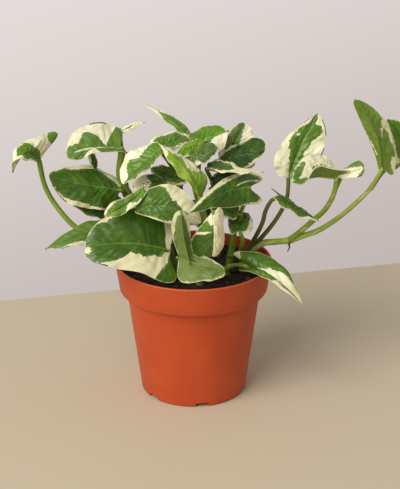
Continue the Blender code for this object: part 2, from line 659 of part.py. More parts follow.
def make_soil(group, material):
    """The soil that fills the pot, with a plain hole for each stem."""
    bottom = FLOOR_THICKNESS + GAP
    step_height = POT_HEIGHT - BAND_HEIGHT + 2 * MM
    wall_slope = (RIM_RADIUS - BAND_FOOT_RADIUS) / (BAND_HEIGHT - 3.2 * MM)
    step_radius = BAND_FOOT_RADIUS - WALL - 0.5 * MM
    top_radius = step_radius + (SOIL_TOP - step_height) * wall_slope - 0.5 * MM
    rings = [(top_radius * step / SOIL_RINGS, SOIL_TOP) for step in range(SOIL_RINGS + 1)]
    side = [(step_radius - 2 * GAP, step_height + 0.5 * MM),
            (NECK_RADIUS - WALL - 2 * GAP, step_height - 3 * MM),
            (inner_radius(bottom) - 2 * GAP, bottom), (0, bottom)]
    soil = turned("soil", rings + side, SOIL_SIDES, group)
    mesh = modifier_result(soil, "soil")
    bpy.data.objects.remove(soil)
    for vertex in mesh.vertices:
        if vertex.co.z > SOIL_TOP - 0.1 * MM:
            vertex.co.z = soil_height(vertex.co.x, vertex.co.y)
    soil = add_object("soil", mesh, group)
    cutters = new_collection("hole_cutters")
    for name, spec in CUTTINGS.items():
        x, y = (value * MM for value in spec["foot"])
        shape = bmesh.new()
        place = Matrix.Translation((x, y, SOIL_TOP))
        bmesh.ops.create_cone(shape, cap_ends=True, segments=10, radius1=STEM_RADIUS + 2 * GAP,
                              radius2=STEM_RADIUS + 2 * GAP, depth=2 * HOLE_DEPTH, matrix=place)
        hole = bpy.data.meshes.new(name + "_hole")
        shape.to_mesh(hole)
        shape.free()
        hide_cutter(add_object(name + "_hole", hole, cutters))
    cut(soil, cutters)
    soil.data.materials.clear()
    soil.data.materials.append(material)
    return soil


def main():
    """Builds the whole potted plant."""
    clear_scene()
    group = new_collection("potted_pothos")
    for index, (name, spec) in enumerate(CUTTINGS.items()):
        colour = tuple(value * (0.85 + 0.04 * index) for value in LEAF_GREEN)
        make_cutting(name, spec, group, new_material(name + "_leaf", colour, 0.35))
    make_pot(group, new_material("terracotta_plastic", TERRACOTTA, 0.45))
    make_soil(group, new_material("soil", SOIL_BROWN, 0.95))


main()
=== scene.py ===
# %% [markdown]
# A potted pothos for a plant shop's shelf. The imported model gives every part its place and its
# size, with under twenty thousand flat triangles. This script keeps those places and gives each
# part the form and finish of the real thing: a moulded plastic pot, loose potting mix, round juicy
# stalks, and thin waxy leaves with their cream and green markings.
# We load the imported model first, because everything else is placed by it.

import math
import random

import bpy
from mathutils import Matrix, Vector, noise


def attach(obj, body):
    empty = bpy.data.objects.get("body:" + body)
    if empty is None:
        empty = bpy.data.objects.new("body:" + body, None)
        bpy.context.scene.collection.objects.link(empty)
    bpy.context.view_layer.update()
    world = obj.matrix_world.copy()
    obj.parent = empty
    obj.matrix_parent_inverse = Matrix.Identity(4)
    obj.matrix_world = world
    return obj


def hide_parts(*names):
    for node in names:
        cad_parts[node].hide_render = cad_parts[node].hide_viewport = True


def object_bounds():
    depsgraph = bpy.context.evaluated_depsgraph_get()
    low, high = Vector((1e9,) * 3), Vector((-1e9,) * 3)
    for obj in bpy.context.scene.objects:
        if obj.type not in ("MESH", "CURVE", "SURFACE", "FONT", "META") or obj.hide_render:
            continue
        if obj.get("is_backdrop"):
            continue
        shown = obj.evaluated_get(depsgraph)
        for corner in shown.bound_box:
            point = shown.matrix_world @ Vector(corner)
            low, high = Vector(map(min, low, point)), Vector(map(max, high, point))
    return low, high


MM = 0.001

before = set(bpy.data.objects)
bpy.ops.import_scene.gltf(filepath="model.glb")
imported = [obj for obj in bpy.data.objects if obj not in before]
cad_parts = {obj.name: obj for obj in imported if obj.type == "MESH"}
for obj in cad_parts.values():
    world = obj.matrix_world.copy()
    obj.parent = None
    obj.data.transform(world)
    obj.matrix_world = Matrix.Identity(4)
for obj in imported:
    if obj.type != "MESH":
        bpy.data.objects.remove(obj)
cad_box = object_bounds()
print("packed nodes:", ", ".join(sorted(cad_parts)))

# %% [markdown]
# The camera stands about a metre away and looks 22 degrees down, so that the pot's rim opens into
# a narrow ellipse. A long lens keeps the pot's sides nearly parallel, as in a shop's picture of a
# plant. We give the place, the turn and the focal length in numbers, since those three were worked
# out from the pot's known size.

# %% Camera
EYE = Vector((0.0043, -1.0163, 0.514))
LOOK_DOWN = math.radians(22)
FOCAL_LENGTH = 121.1

camera = bpy.data.objects.new("camera", bpy.data.cameras.new("camera"))
bpy.context.scene.collection.objects.link(camera)
camera.location = EYE
camera.rotation_euler = (math.pi / 2 - LOOK_DOWN, 0, 0)
camera.data.lens = FOCAL_LENGTH
camera.data.sensor_width = 36
camera.data.clip_start = 0.01
bpy.context.scene.camera = camera
print("camera looks", round(math.degrees(LOOK_DOWN)), "degrees down from", [round(n, 3) for n in EYE])

# %% [markdown]
# A finish is a material made of nodes. Nearly all of them here use the same few steps: a noise, a
# sum, a soft threshold, a blend of two colours, a little relief. A small class keeps those steps
# short to write, and passes each result on as the next one's input.
# The noise is read in Object coordinates, which are metres in the real object, so a scale of 1000
# gives a pattern about a millimetre wide.

# %% A helper for finishes
class Finish:
    """A procedural finish that is built up node by node round one Principled shader."""

    def __init__(self, name, roughness=0.5):
        self.material = bpy.data.materials.new(name)
        self.material.use_nodes = True
        self.tree = self.material.node_tree
        self.shader = self.tree.nodes["Principled BSDF"]
        self.paint("Roughness", roughness)
        coordinates = self.tree.nodes.new("ShaderNodeTexCoord")
        self.place = coordinates.outputs["Object"]
        self.chart = coordinates.outputs["UV"]

    def feed(self, socket, value):
        """Leads another node's output into an input, or sets the input to a plain value."""
        if isinstance(value, bpy.types.NodeSocket):
            self.tree.links.new(value, socket)
        else:
            socket.default_value = value

    def paint(self, socket, value):
        """Feeds one of the shader's inputs."""
        self.feed(self.shader.inputs[socket], value)

    def add(self, kind, inputs, output=0, **settings):
        """Adds a node and feeds its inputs, each a number, a colour or another node's output."""
        node = self.tree.nodes.new(kind)
        for key, value in settings.items():
            setattr(node, key, value)
        for key, value in inputs.items():
            self.feed(node.inputs[key], value)
        return node.outputs[output]

    def attribute(self, name):
        """A number that the mesh carries at each point."""
        return self.add("ShaderNodeAttribute", {}, "Fac", attribute_name=name)

    def axis(self, vector, index):
        """One of a vector's three numbers."""
        return self.add("ShaderNodeSeparateXYZ", {0: vector}, index)

    def noise(self, scale, detail=2.0, place=None):
        """A cloudy pattern from 0 to 1."""
        inputs = {"Vector": place or self.place, "Scale": scale, "Detail": detail}
        return self.add("ShaderNodeTexNoise", inputs)

    def cells(self, scale):
        """The distance from the nearest seam of a crackle of cells."""
        inputs = {"Vector": self.place, "Scale": scale}
        return self.add("ShaderNodeTexVoronoi", inputs, feature="DISTANCE_TO_EDGE")

    def sums(self, operation, first, second=0.0):
        """One step of arithmetic."""
        return self.add("ShaderNodeMath", {0: first, 1: second}, operation=operation)

    def plus(self, total, *others):
        """The sum of two or more values."""
        for value in others:
            total = self.sums("ADD", total, value)
        return total

    def minus(self, first, second):
        """The second value taken from the first."""
        return self.sums("SUBTRACT", first, second)

    def times(self, first, second):
        """The product of two values."""
        return self.sums("MULTIPLY", first, second)

    def around(self, value, amount):
        """A 0 to 1 value turned into a swing of plus and minus half the amount."""
        return self.times(self.minus(value, 0.5), amount)

    def ramp(self, value, low, high):
        """0 below low and 1 above high, with a smooth change between them."""
        inputs = {0: value, 1: low, 2: high, 3: 0.0, 4: 1.0}
        return self.add("ShaderNodeMapRange", inputs, interpolation_type="SMOOTHSTEP")

    def drop(self, value, low, high):
        """1 below low and 0 above high, with a smooth change between them."""
        return self.minus(1.0, self.ramp(value, low, high))

    def blend(self, factor, first, second, strength=1.0):
        """The second colour laid over the first, as strongly as the factor times strength says."""
        if strength != 1.0:
            factor = self.times(factor, strength)
        colours = [value if isinstance(value, bpy.types.NodeSocket) else (*value, 1)
                   for value in (first, second)]
        inputs = {0: factor, 6: colours[0], 7: colours[1]}
        return self.add("ShaderNodeMix", inputs, 2, data_type="RGBA")

    def relief(self, height, strength, distance):
        """Lets a pattern tilt the light as relief of a depth in metres would."""
        inputs = {"Height": height, "Strength": strength, "Distance": distance}
        self.paint("Normal", self.add("ShaderNodeBump", inputs))


# %% [markdown]
# The floor is a plain pale table top and the wall behind it is a warm grey. Neither belongs
# to the plant, so both are marked as stage. The floor ends along one slanting line, where the wall
# begins. The wall is a large pale board far behind, out of the way when the plant is looked at
# from its other sides. It glows by itself, and painted shade dims it towards the bottom and the right.

# %% Floor and wall
FLOOR_EDGE = (Vector((-0.1495, 0.1400, 0)), Vector((0.1666, 0.2158, 0)))
FLOOR_REACH = 3.0
FLOOR_BEIGE = (0.60, 0.515, 0.375)
FLOOR_MOTTLE = 0.97
WALL_BRIGHT = (0.79, 0.735, 0.715)
WALL_DIM = (0.52, 0.46, 0.44)
WALL_DIM_HEIGHT = -1.55
WALL_BRIGHT_HEIGHT = -0.05
WALL_SHADE_LEAN = 0.35
WALL_DISTANCE = 3
WALL_REACH = 1.3
WALL_BOTTOM = -2.2
WALL_TOP = 0.6


def stage_board(name, corners, finish):
    """A flat board through four corners, marked as stage."""
    bpy.ops.object.select_all(action="DESELECT")
    bpy.ops.mesh.primitive_plane_add(size=1)
    board = bpy.context.active_object
    board.name = name
    order = (0, 1, 3, 2)
    for index, corner in zip(order, corners):
        board.data.vertices[index].co = corner
    board.data.materials.append(finish.material)
    board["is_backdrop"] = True


floor_finish = Finish("table_top", 0.75)
mottle = floor_finish.noise(9, 3)
darker_beige = [n * FLOOR_MOTTLE for n in FLOOR_BEIGE]
floor_finish.paint("Base Color", floor_finish.blend(mottle, darker_beige, FLOOR_BEIGE))
along_edge = (FLOOR_EDGE[1] - FLOOR_EDGE[0]).normalized() * FLOOR_REACH
near = Vector((0, -FLOOR_REACH, 0))
corners = (FLOOR_EDGE[0] - along_edge + near, FLOOR_EDGE[1] + along_edge + near,
           FLOOR_EDGE[1] + along_edge, FLOOR_EDGE[0] - along_edge)
stage_board("floor", corners, floor_finish)

wall_finish = Finish("wall", 1.0)
wall_finish.paint("Base Color", (0, 0, 0, 1))
wall_finish.paint("Specular IOR Level", 0)
# Painted shade: the glowing wall is dimmer towards the bottom and the right.
lean = wall_finish.times(wall_finish.axis(wall_finish.place, 0), WALL_SHADE_LEAN)
shade = wall_finish.minus(wall_finish.axis(wall_finish.place, 2), lean)
shade = wall_finish.ramp(shade, WALL_DIM_HEIGHT, WALL_BRIGHT_HEIGHT)
wall_finish.paint("Emission Color", wall_finish.blend(shade, WALL_DIM, WALL_BRIGHT))
wall_finish.paint("Emission Strength", 1.0)
outline = ((-1, WALL_BOTTOM), (1, WALL_BOTTOM), (1, WALL_TOP), (-1, WALL_TOP))
stage_board("wall", [(side * WALL_REACH, WALL_DISTANCE, z) for side, z in outline], wall_finish)
print("floor edge runs", round((FLOOR_EDGE[1] - FLOOR_EDGE[0]).length / MM), "mm across the view")

# %% [markdown]
# The light of the picture is a big soft window at the upper left, a little in front of the plant.
# An area lamp gives such soft shadows: the larger it is, the softer they are. The world adds a
# weak even light, so that the shadows among the leaves stay deep green and don't turn black.

# %% Light
WINDOW_PLACE = Vector((-1.35, -1.62, 1.69))
WINDOW_AIM = Vector((0, 0, 0.09))
WINDOW_SIZE = 2.0
WINDOW_POWER = 72
WINDOW_WARMTH = (1.0, 0.965, 0.91)
WORLD_COLOUR = (0.86, 0.82, 0.78)
WORLD_STRENGTH = 0.49

window = bpy.data.objects.new("window_light", bpy.data.lights.new("window_light", "AREA"))
bpy.context.scene.collection.objects.link(window)
window.location = WINDOW_PLACE
window.rotation_euler = (WINDOW_AIM - WINDOW_PLACE).to_track_quat("-Z", "Y").to_euler()
window.data.size = WINDOW_SIZE
window.data.energy = WINDOW_POWER
window.data.color = WINDOW_WARMTH
world = bpy.data.worlds.new("studio")
world.use_nodes = True
world.node_tree.nodes["Background"].inputs["Color"].default_value = (*WORLD_COLOUR, 1)
world.node_tree.nodes["Background"].inputs["Strength"].default_value = WORLD_STRENGTH
bpy.context.scene.world = world
bpy.context.scene.view_settings.view_transform = "Standard"
print("window light:", WINDOW_POWER, "W over", WINDOW_SIZE, "m")

# %% [markdown]
# The pot is a thin injection-moulded nursery pot: a cone that widens to a flared band at its rim.
# Such a form is round, so it could be spun from a profile. Here a disc is drawn up from ring to
# ring instead, as clay rises on a wheel: extrude, then scale the new ring about the axis. That goes
# up the outside, over the lip and down the inside, and leaves one closed shell.

# %% Draw up the pot
POT_SIDES = 180
POT_HEIGHT = 93 * MM
RIM_RADIUS = 52.5 * MM
BAND_FOOT_RADIUS = 49.8 * MM
BAND_FOOT = POT_HEIGHT - 19 * MM
NECK_RADIUS = 44.6 * MM
BASE_RADIUS = 35.6 * MM
BASE_CORNER = 1.8 * MM
WALL_THICKNESS = 1.5 * MM
FLOOR_THICKNESS = 1.8 * MM
COVE_RADIUS = 1.5 * MM
BULGE_RADIUS = 2.2 * MM
LIP_OUTER = 0.6 * MM
LIP_INNER = 0.5 * MM


def quarter_turn(middle, radius, first, last, steps):
    """Points (radius, height) round a corner, from one angle in degrees to another."""
    turns = [math.radians(first + (last - first) * step / steps) for step in range(steps + 1)]
    return [(middle[0] + radius * math.cos(turn), middle[1] + radius * math.sin(turn)) for turn in turns]


def pot_outside():
    """The outer profile from the base's corner up to the lip's outer edge."""
    corner = quarter_turn((BASE_RADIUS - BASE_CORNER, BASE_CORNER), BASE_CORNER, -90, 0, 6)
    cove = quarter_turn((NECK_RADIUS + COVE_RADIUS, BAND_FOOT - 4.0 * MM), COVE_RADIUS, 180, 110, 4)
    bulge_middle = (BAND_FOOT_RADIUS - BULGE_RADIUS, BAND_FOOT + 0.6 * MM)
    bulge = quarter_turn(bulge_middle, BULGE_RADIUS, -60, 0, 5)
    lip = quarter_turn((RIM_RADIUS - LIP_OUTER, POT_HEIGHT - LIP_OUTER), LIP_OUTER, 0, 90, 4)
    return corner + cove + bulge + [(RIM_RADIUS - 0.15 * MM, POT_HEIGHT - 1.6 * MM)] + lip


def pot_inside():
    """The inner profile from the lip down to the middle of the pot's floor."""
    lip_middle = (RIM_RADIUS - WALL_THICKNESS + LIP_INNER, POT_HEIGHT - LIP_INNER)
    lip = quarter_turn(lip_middle, LIP_INNER, 90, 180, 4)
    band = [(BAND_FOOT_RADIUS - WALL_THICKNESS - 0.5 * MM, BAND_FOOT + 2.0 * MM),
            (NECK_RADIUS - WALL_THICKNESS, BAND_FOOT - 1.5 * MM)]
    floor = [(BASE_RADIUS - WALL_THICKNESS - 0.5 * MM, FLOOR_THICKNESS + 0.6 * MM),
             (BASE_RADIUS - WALL_THICKNESS - 1.1 * MM, FLOOR_THICKNESS), (2 * MM, FLOOR_THICKNESS)]
    return lip + band + floor


def draw_up(profile):
    """Extrudes the selected ring or disc from point to point of a profile of (radius, height)."""
    radius, height = profile[0]
    for next_radius, next_height in profile[1:]:
        bpy.ops.mesh.extrude_region_move(TRANSFORM_OT_translate={"value": (0, 0, next_height - height)})
        scale = next_radius / radius
        bpy.ops.transform.resize(value=(scale, scale, 1), center_override=(0, 0, 0))
        radius, height = next_radius, next_height


def face_outward():
    """Turns all the faces of the mesh being edited outward, and ends the editing."""
    bpy.ops.mesh.select_all(action="SELECT")
    bpy.ops.mesh.normals_make_consistent(inside=False)
    bpy.ops.object.mode_set(mode="OBJECT")


profile = pot_outside() + pot_inside()
bpy.ops.object.select_all(action="DESELECT")
bpy.ops.mesh.primitive_circle_add(vertices=POT_SIDES, radius=profile[0][0], fill_type="NGON")
pot = bpy.context.active_object
pot.name = "nursery_pot"
bpy.ops.object.mode_set(mode="EDIT")
draw_up(profile)
face_outward()
print("pot:", len(profile), "rings,", len(pot.data.polygons), "faces")

# %% [markdown]
# Water leaves through six shallow recesses in the base's edge, each with a slot through the wall.
# Cutting holes in a round wall by hand leaves untidy faces, so wedge-shaped blocks are placed round
# the base and taken out with a Boolean modifier. One of them is a little to the right of the front.

# %% Cut the drains
DRAIN_COUNT = 6
DRAIN_TURN = math.radians(9.6)
RECESS = (18 * MM, 2.8 * MM, 6 * MM)
RECESS_NARROWING = 0.86
OUTLET = (9.4 * MM, 9 * MM, 5 * MM)
OUTLET_NARROWING = 0.9
DRAIN_DEPTH = 0.75 * MM


def choose(*items):
    """Selects the items alone and makes the first of them active."""
    bpy.ops.object.select_all(action="DESELECT")
    for item in items:
        item.select_set(True)
    bpy.context.view_layer.objects.active = items[0]


def drain_block(size, middle_y, turn, narrowing):
    """A block with a narrower top, turned about the pot's axis to where it cuts."""
    bpy.ops.object.select_all(action="DESELECT")
    bpy.ops.mesh.primitive_cube_add(size=1, location=(0, middle_y, 0))
    block = bpy.context.active_object
    bpy.ops.object.mode_set(mode="EDIT")
    bpy.ops.transform.resize(value=size, center_override=(0, middle_y, 0))
    bpy.ops.object.mode_set(mode="OBJECT")
    for vertex in block.data.vertices:
        if vertex.co.z > 0:
            vertex.co.x *= narrowing
    bpy.ops.object.mode_set(mode="EDIT")
    bpy.ops.transform.rotate(value=-turn, orient_axis="Z", center_override=(0, 0, 0))
    bpy.ops.object.mode_set(mode="OBJECT")
    return block


def cut_away(item, blocks):
    """Takes the blocks out of an item and removes them."""
    choose(*blocks)
    bpy.ops.object.join()
    cutter = blocks[0]
    bpy.context.view_layer.objects.active = item
    cut = item.modifiers.new("cut", "BOOLEAN")
    cut.operation = "DIFFERENCE"
    cut.object = cutter
    bpy.ops.object.modifier_apply(modifier=cut.name)
    bpy.data.objects.remove(cutter)


turns = [DRAIN_TURN + step * math.tau / DRAIN_COUNT for step in range(DRAIN_COUNT)]
recess_y = -BASE_RADIUS - RECESS[1] / 2 + DRAIN_DEPTH
cut_away(pot, [drain_block(RECESS, recess_y, turn, RECESS_NARROWING) for turn in turns])
cut_away(pot, [drain_block(OUTLET, -BASE_RADIUS, turn, OUTLET_NARROWING) for turn in turns])
choose(pot)
bpy.ops.object.shade_smooth_by_angle(angle=math.radians(38))
print("drains:", DRAIN_COUNT, "recesses", round(RECESS[0] / MM), "mm wide")

# %% [markdown]
# Moulded polypropylene in terracotta colour is satin, not shiny. Up close its colour drifts a
# little, handling leaves duller patches, and the lip wears paler. The relief is only the faint
# grain of the mould. All of it is far too slight to see one by one, but without it the pot looks
# like a flat fill. The inside above the soil is darkened to a deep red-brown: painted shade, for
# the shadow of the rim and the leaves.

# %% Terracotta plastic
TERRACOTTA = (0.52, 0.078, 0.020)
TERRACOTTA_PALE = (0.62, 0.15, 0.06)
TERRACOTTA_DEEP = (0.46, 0.062, 0.015)
INSIDE_PAINTED_SHADE = (0.13, 0.012, 0.005)

plastic = Finish("terracotta_plastic_satin")
drift = plastic.ramp(plastic.noise(38, 4), 0.3, 0.75)
body_colour = plastic.blend(drift, TERRACOTTA_DEEP, TERRACOTTA)
scuffs = plastic.ramp(plastic.noise(900, 5), 0.62, 0.8)
body_colour = plastic.blend(scuffs, body_colour, TERRACOTTA_PALE, 0.25)
height = plastic.axis(plastic.place, 2)
lip = plastic.ramp(height, POT_HEIGHT - 0.9 * MM, POT_HEIGHT)
body_colour = plastic.blend(lip, body_colour, TERRACOTTA_PALE, 0.55)
sideways = [plastic.axis(plastic.place, index) for index in (0, 1)]
from_axis = plastic.sums("SQRT", plastic.plus(*[plastic.times(axis, axis) for axis in sideways]))
# Painted shade: the inside of the pot above the soil is darkened towards a deep red-brown.
inner_face = plastic.drop(from_axis, RIM_RADIUS - 3.6 * MM, RIM_RADIUS - 2.2 * MM)
above_soil = plastic.ramp(height, BAND_FOOT, BAND_FOOT + 2 * MM)
inside_shade = plastic.times(inner_face, above_soil)
plastic.paint("Base Color", plastic.blend(inside_shade, body_colour, INSIDE_PAINTED_SHADE, 0.72))
plastic.paint("Specular IOR Level", 0.28)
plastic.paint("Roughness", plastic.plus(plastic.around(plastic.noise(60, 3), 0.22), 0.47))
plastic.relief(plastic.noise(2600, 3), 0.22, 0.05 * MM)
pot.data.materials.clear()
pot.data.materials.append(plastic.material)
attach(pot, "root")
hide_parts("pot")
print("pot finish:", plastic.material.name)

# %% [markdown]
# Potting mix is a heap of crumbs of peat with chips of bark in it. Modelling every crumb would
# cost far too much, so the top is one fine grid that is pushed up and down in crumbs and clumps.
# Only the larger bits, which catch the light, are shapes of their own.
# The grid is square and the pot is round: a simple formula bends the square into a disc with cells
# of nearly one size. Below its edge the soil follows the pot's inside down to the floor.

# %% Heap up the soil
SOIL_TOP = 85.5 * MM
SOIL_BUMP = 1.2 * MM
SOIL_CELLS = 150
GAP = 0.3 * MM
CLUMP_SCALE = 190
GRAIN_SCALE = 480
ROUGH_SCALE = 260


def soil_height(x, y):
    """The soft lumps of the soil's top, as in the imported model."""
    fine = math.sin(x * 420 + 1.3) * math.sin(y * 390 + 0.4)
    coarse = math.sin(x * 170 + 0.9 * math.sin(y * 210))
    return SOIL_TOP + SOIL_BUMP * (0.5 * fine + 0.5 * coarse)


def crumbs(x, y):
    """How far the loose crumbs stand up or down at a place."""
    clump = noise.voronoi(Vector((x, y, 0)) * CLUMP_SCALE)[0]
    grain = noise.voronoi(Vector((x, y, 0.3)) * GRAIN_SCALE)[0]
    rough = noise.fractal(Vector((x, y, 0)) * ROUGH_SCALE, 0.9, 2.1, 5)
    return (1.5 * (0.45 - clump[0]) + 0.8 * (0.4 - grain[0]) + 0.35 * rough) * MM


def soil_disc(item, radius):
    """Bends the grid into a disc and raises its crumbs, which lie flatter along the edge."""
    for vertex in item.data.vertices:
        u, v = vertex.co.x, vertex.co.y
        x, y = (u * math.sqrt(1 - v * v / 2) * radius, v * math.sqrt(1 - u * u / 2) * radius)
        edge = min(1.0, (1 - math.hypot(x, y) / radius) * 12)
        vertex.co = (x, y, soil_height(x, y) + crumbs(x, y) * (0.25 + 0.75 * edge))


def soil_side(top_radius):
    """The side of the soil as (radius, height), from its top edge down to the pot's floor."""
    step = BAND_FOOT + 2 * MM
    step_radius = BAND_FOOT_RADIUS - WALL_THICKNESS - 0.5 * MM
    bottom = FLOOR_THICKNESS + GAP
    low_radius = BASE_RADIUS - WALL_THICKNESS - 0.9 * MM
    return [(top_radius, SOIL_TOP), (top_radius, SOIL_TOP - 1.5 * MM),
            (step_radius - 2 * GAP, step + 0.5 * MM),
            (NECK_RADIUS - WALL_THICKNESS - 3 * GAP, step - 4 * MM), (low_radius, bottom)]


wall_slope = (RIM_RADIUS - BAND_FOOT_RADIUS) / (POT_HEIGHT - BAND_FOOT - 3.2 * MM)
soil_radius = BAND_FOOT_RADIUS - WALL_THICKNESS - 0.9 * MM + (SOIL_TOP - BAND_FOOT - 2 * MM) * wall_slope
bpy.ops.object.select_all(action="DESELECT")
bpy.ops.mesh.primitive_grid_add(x_subdivisions=SOIL_CELLS, y_subdivisions=SOIL_CELLS, size=2)
soil = bpy.context.active_object
soil.name = "potting_mix"
soil_disc(soil, soil_radius)
bpy.ops.object.mode_set(mode="EDIT")
bpy.ops.mesh.select_all(action="SELECT")
bpy.ops.mesh.region_to_loop()
draw_up(soil_side(soil_radius))
bpy.ops.transform.resize(value=(1, 1, 0), center_override=(0, 0, FLOOR_THICKNESS + GAP))
bpy.ops.mesh.edge_face_add()
face_outward()
print("soil:", len(soil.data.polygons), "faces, top at", round(SOIL_TOP / MM, 1), "mm")

# %% [markdown]
# The chips of bark and the larger crumbs are all made alike: a small faceted ball, squashed to a
# chip's proportions, roughened, turned at random and sunk a little into the top. The random numbers
# come from one seeded source, so the same bits fall in the same places every time.
# For each kind of bit a row says how many there are, how large they are in millimetres, how far out
# they lie, how flat they are and how rough.

# %% Scatter bark and crumbs
BITS = {"bark": (70, (2.6, 6.2), 0.93, 0.3, 0.28), "crumb": (330, (0.9, 2.6), 0.965, 0.75, 0.22)}
scatter = random.Random(41)


def scatter_place(reach):
    """A random place on the soil's top, even over its area."""
    radius = soil_radius * reach * math.sqrt(scatter.random())
    turn = scatter.random() * math.tau
    x, y = radius * math.cos(turn), radius * math.sin(turn)
    return Vector((x, y, soil_height(x, y)))


def drop_bit(name, place, size, flatness, roughness):
    """One chip or crumb, lying on the soil."""
    bpy.ops.mesh.primitive_ico_sphere_add(subdivisions=1, radius=0.5)
    bit = bpy.context.active_object
    bit.name = name
    stretch = Vector((size, size * scatter.uniform(0.45, 0.8), size * flatness))
    turn = Vector((0, 0, 1)).rotation_difference(
        Vector((scatter.uniform(-0.6, 0.6), scatter.uniform(-0.6, 0.6), 1))).to_matrix()
    spin = scatter.random() * math.tau
    for vertex in bit.data.vertices:
        knock = 1 + scatter.uniform(-roughness, roughness)
        x, y, z = (a * b * knock for a, b in zip(vertex.co, stretch))
        flat = Vector((x * math.cos(spin) - y * math.sin(spin), x * math.sin(spin) + y * math.cos(spin), z))
        vertex.co = turn @ flat + place
    return bit


bits = []
for kind, (count, sizes, reach, flatness, roughness) in BITS.items():
    for index in range(count):
        size = scatter.uniform(*sizes) * MM
        bits.append(drop_bit(f"{kind}_{index}", scatter_place(reach), size, flatness, roughness))
print("soil bits:", len(bits))

# %% [markdown]
# Damp peat is nearly black-brown, with redder fibres. Bark chips are a warmer and lighter brown,
# each a little different. The difference comes from a slow noise, so that each chip takes one tone.

# %% Soil and bark finishes
PEAT_DARK = (0.010, 0.006, 0.004)
PEAT_BROWN = (0.040, 0.022, 0.013)
PEAT_FIBRE = (0.14, 0.08, 0.045)
BARK_DARK = (0.030, 0.015, 0.009)
BARK_LIGHT = (0.13, 0.065, 0.034)
BARK_GRAIN = (0.02, 0.011, 0.007)

peat = Finish("damp_peat", 0.93)
peat_tone = peat.blend(peat.ramp(peat.noise(420, 5), 0.35, 0.7), PEAT_DARK, PEAT_BROWN)
fibres = peat.ramp(peat.noise(1500, 4), 0.63, 0.72)
peat.paint("Base Color", peat.blend(fibres, peat_tone, PEAT_FIBRE, 0.5))
peat.relief(peat.noise(1900, 5), 0.7, 0.4 * MM)

bark = Finish("bark_chip", 0.85)
bark_tone = bark.blend(bark.ramp(bark.noise(150, 1), 0.35, 0.7), BARK_DARK, BARK_LIGHT)
bark_grain = bark.ramp(bark.noise(2400, 4), 0.4, 0.7)
bark.paint("Base Color", bark.blend(bark_grain, bark_tone, BARK_GRAIN, 0.45))
bark.relief(bark.noise(2400, 4), 0.6, 0.25 * MM)

for bit in bits:
    bit.data.materials.append(bark.material if bit.name.startswith("bark") else peat.material)
soil.data.materials.append(peat.material)
choose(soil, *bits)
bpy.ops.object.join()
bpy.ops.object.shade_smooth_by_angle(angle=math.radians(50))
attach(soil, "root")
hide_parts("soil")
print("soil with its bits:", len(soil.data.polygons), "faces")

# %% [markdown]
# The plant is laid out as it looks from the front. Each place is (across, rise, toward) in
# millimetres: across and rise are read in the eye's picture of the pot, and toward says how far in
# front of the pot's axis the place stands. One function turns such a place into a point in space.
# A leaf needs few places: three along its midrib and up to three pairs along its margins. They are
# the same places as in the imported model, so that each finer leaf lies where its solid is.

# %% From the picture to space
PICTURE_DISTANCE = 1096.7
PICTURE_MIDDLE = (4.3, 92.7)
AHEAD = Vector((0, math.cos(LOOK_DOWN), -math.sin(LOOK_DOWN)))
UPWARD = Vector((0, math.sin(LOOK_DOWN), math.cos(LOOK_DOWN)))


def seen(place):
    """Turns (across, rise, toward) in millimetres into a point in metres."""
    across, rise, toward = place
    ray = AHEAD.copy()
    ray += Vector((1, 0, 0)) * (across - PICTURE_MIDDLE[0]) / PICTURE_DISTANCE
    ray += UPWARD * (rise - PICTURE_MIDDLE[1]) / PICTURE_DISTANCE
    return EYE + ray * ((-toward * MM - EYE.y) / ray.y)


def leaf(base, mid, tip, left, right, lobe=5, full=0.4, wave=0.9, bulge=1.0, inner=(None, None),
         outer=(None, None), start=1.0, stalk=(), thin=1.0):
    """One leaf: its midrib runs base, mid, tip, and its margins pass left and right at its widest.

    inner and outer are two more such pairs, for the heart-shaped base and for the outer half, and
    are None where the margin simply follows. lobe is how far the base reaches back past the stalk,
    wave the swing of the margin and bulge the swell of each half, all in millimetres. full says
    how round the outer end is, from 0 for a long drip tip to over 1 for a blunt one. The stalk
    leaves the stem at the fraction start of its length and passes through the places in stalk, and
    thin scales its radius.
    """
    return {"base": base, "mid": mid, "tip": tip, "left": (inner[0], left, outer[0]),
            "right": (inner[1], right, outer[1]), "full": full, "wave": wave, "bulge": bulge,
            "lobe": lobe if isinstance(lobe, tuple) else (lobe, lobe), "start": start,
            "stalk": stalk, "thin": thin}


# %% [markdown]
# Each cutting has a foot in the soil as (x, y), a stem above the soil, and its leaves by name.

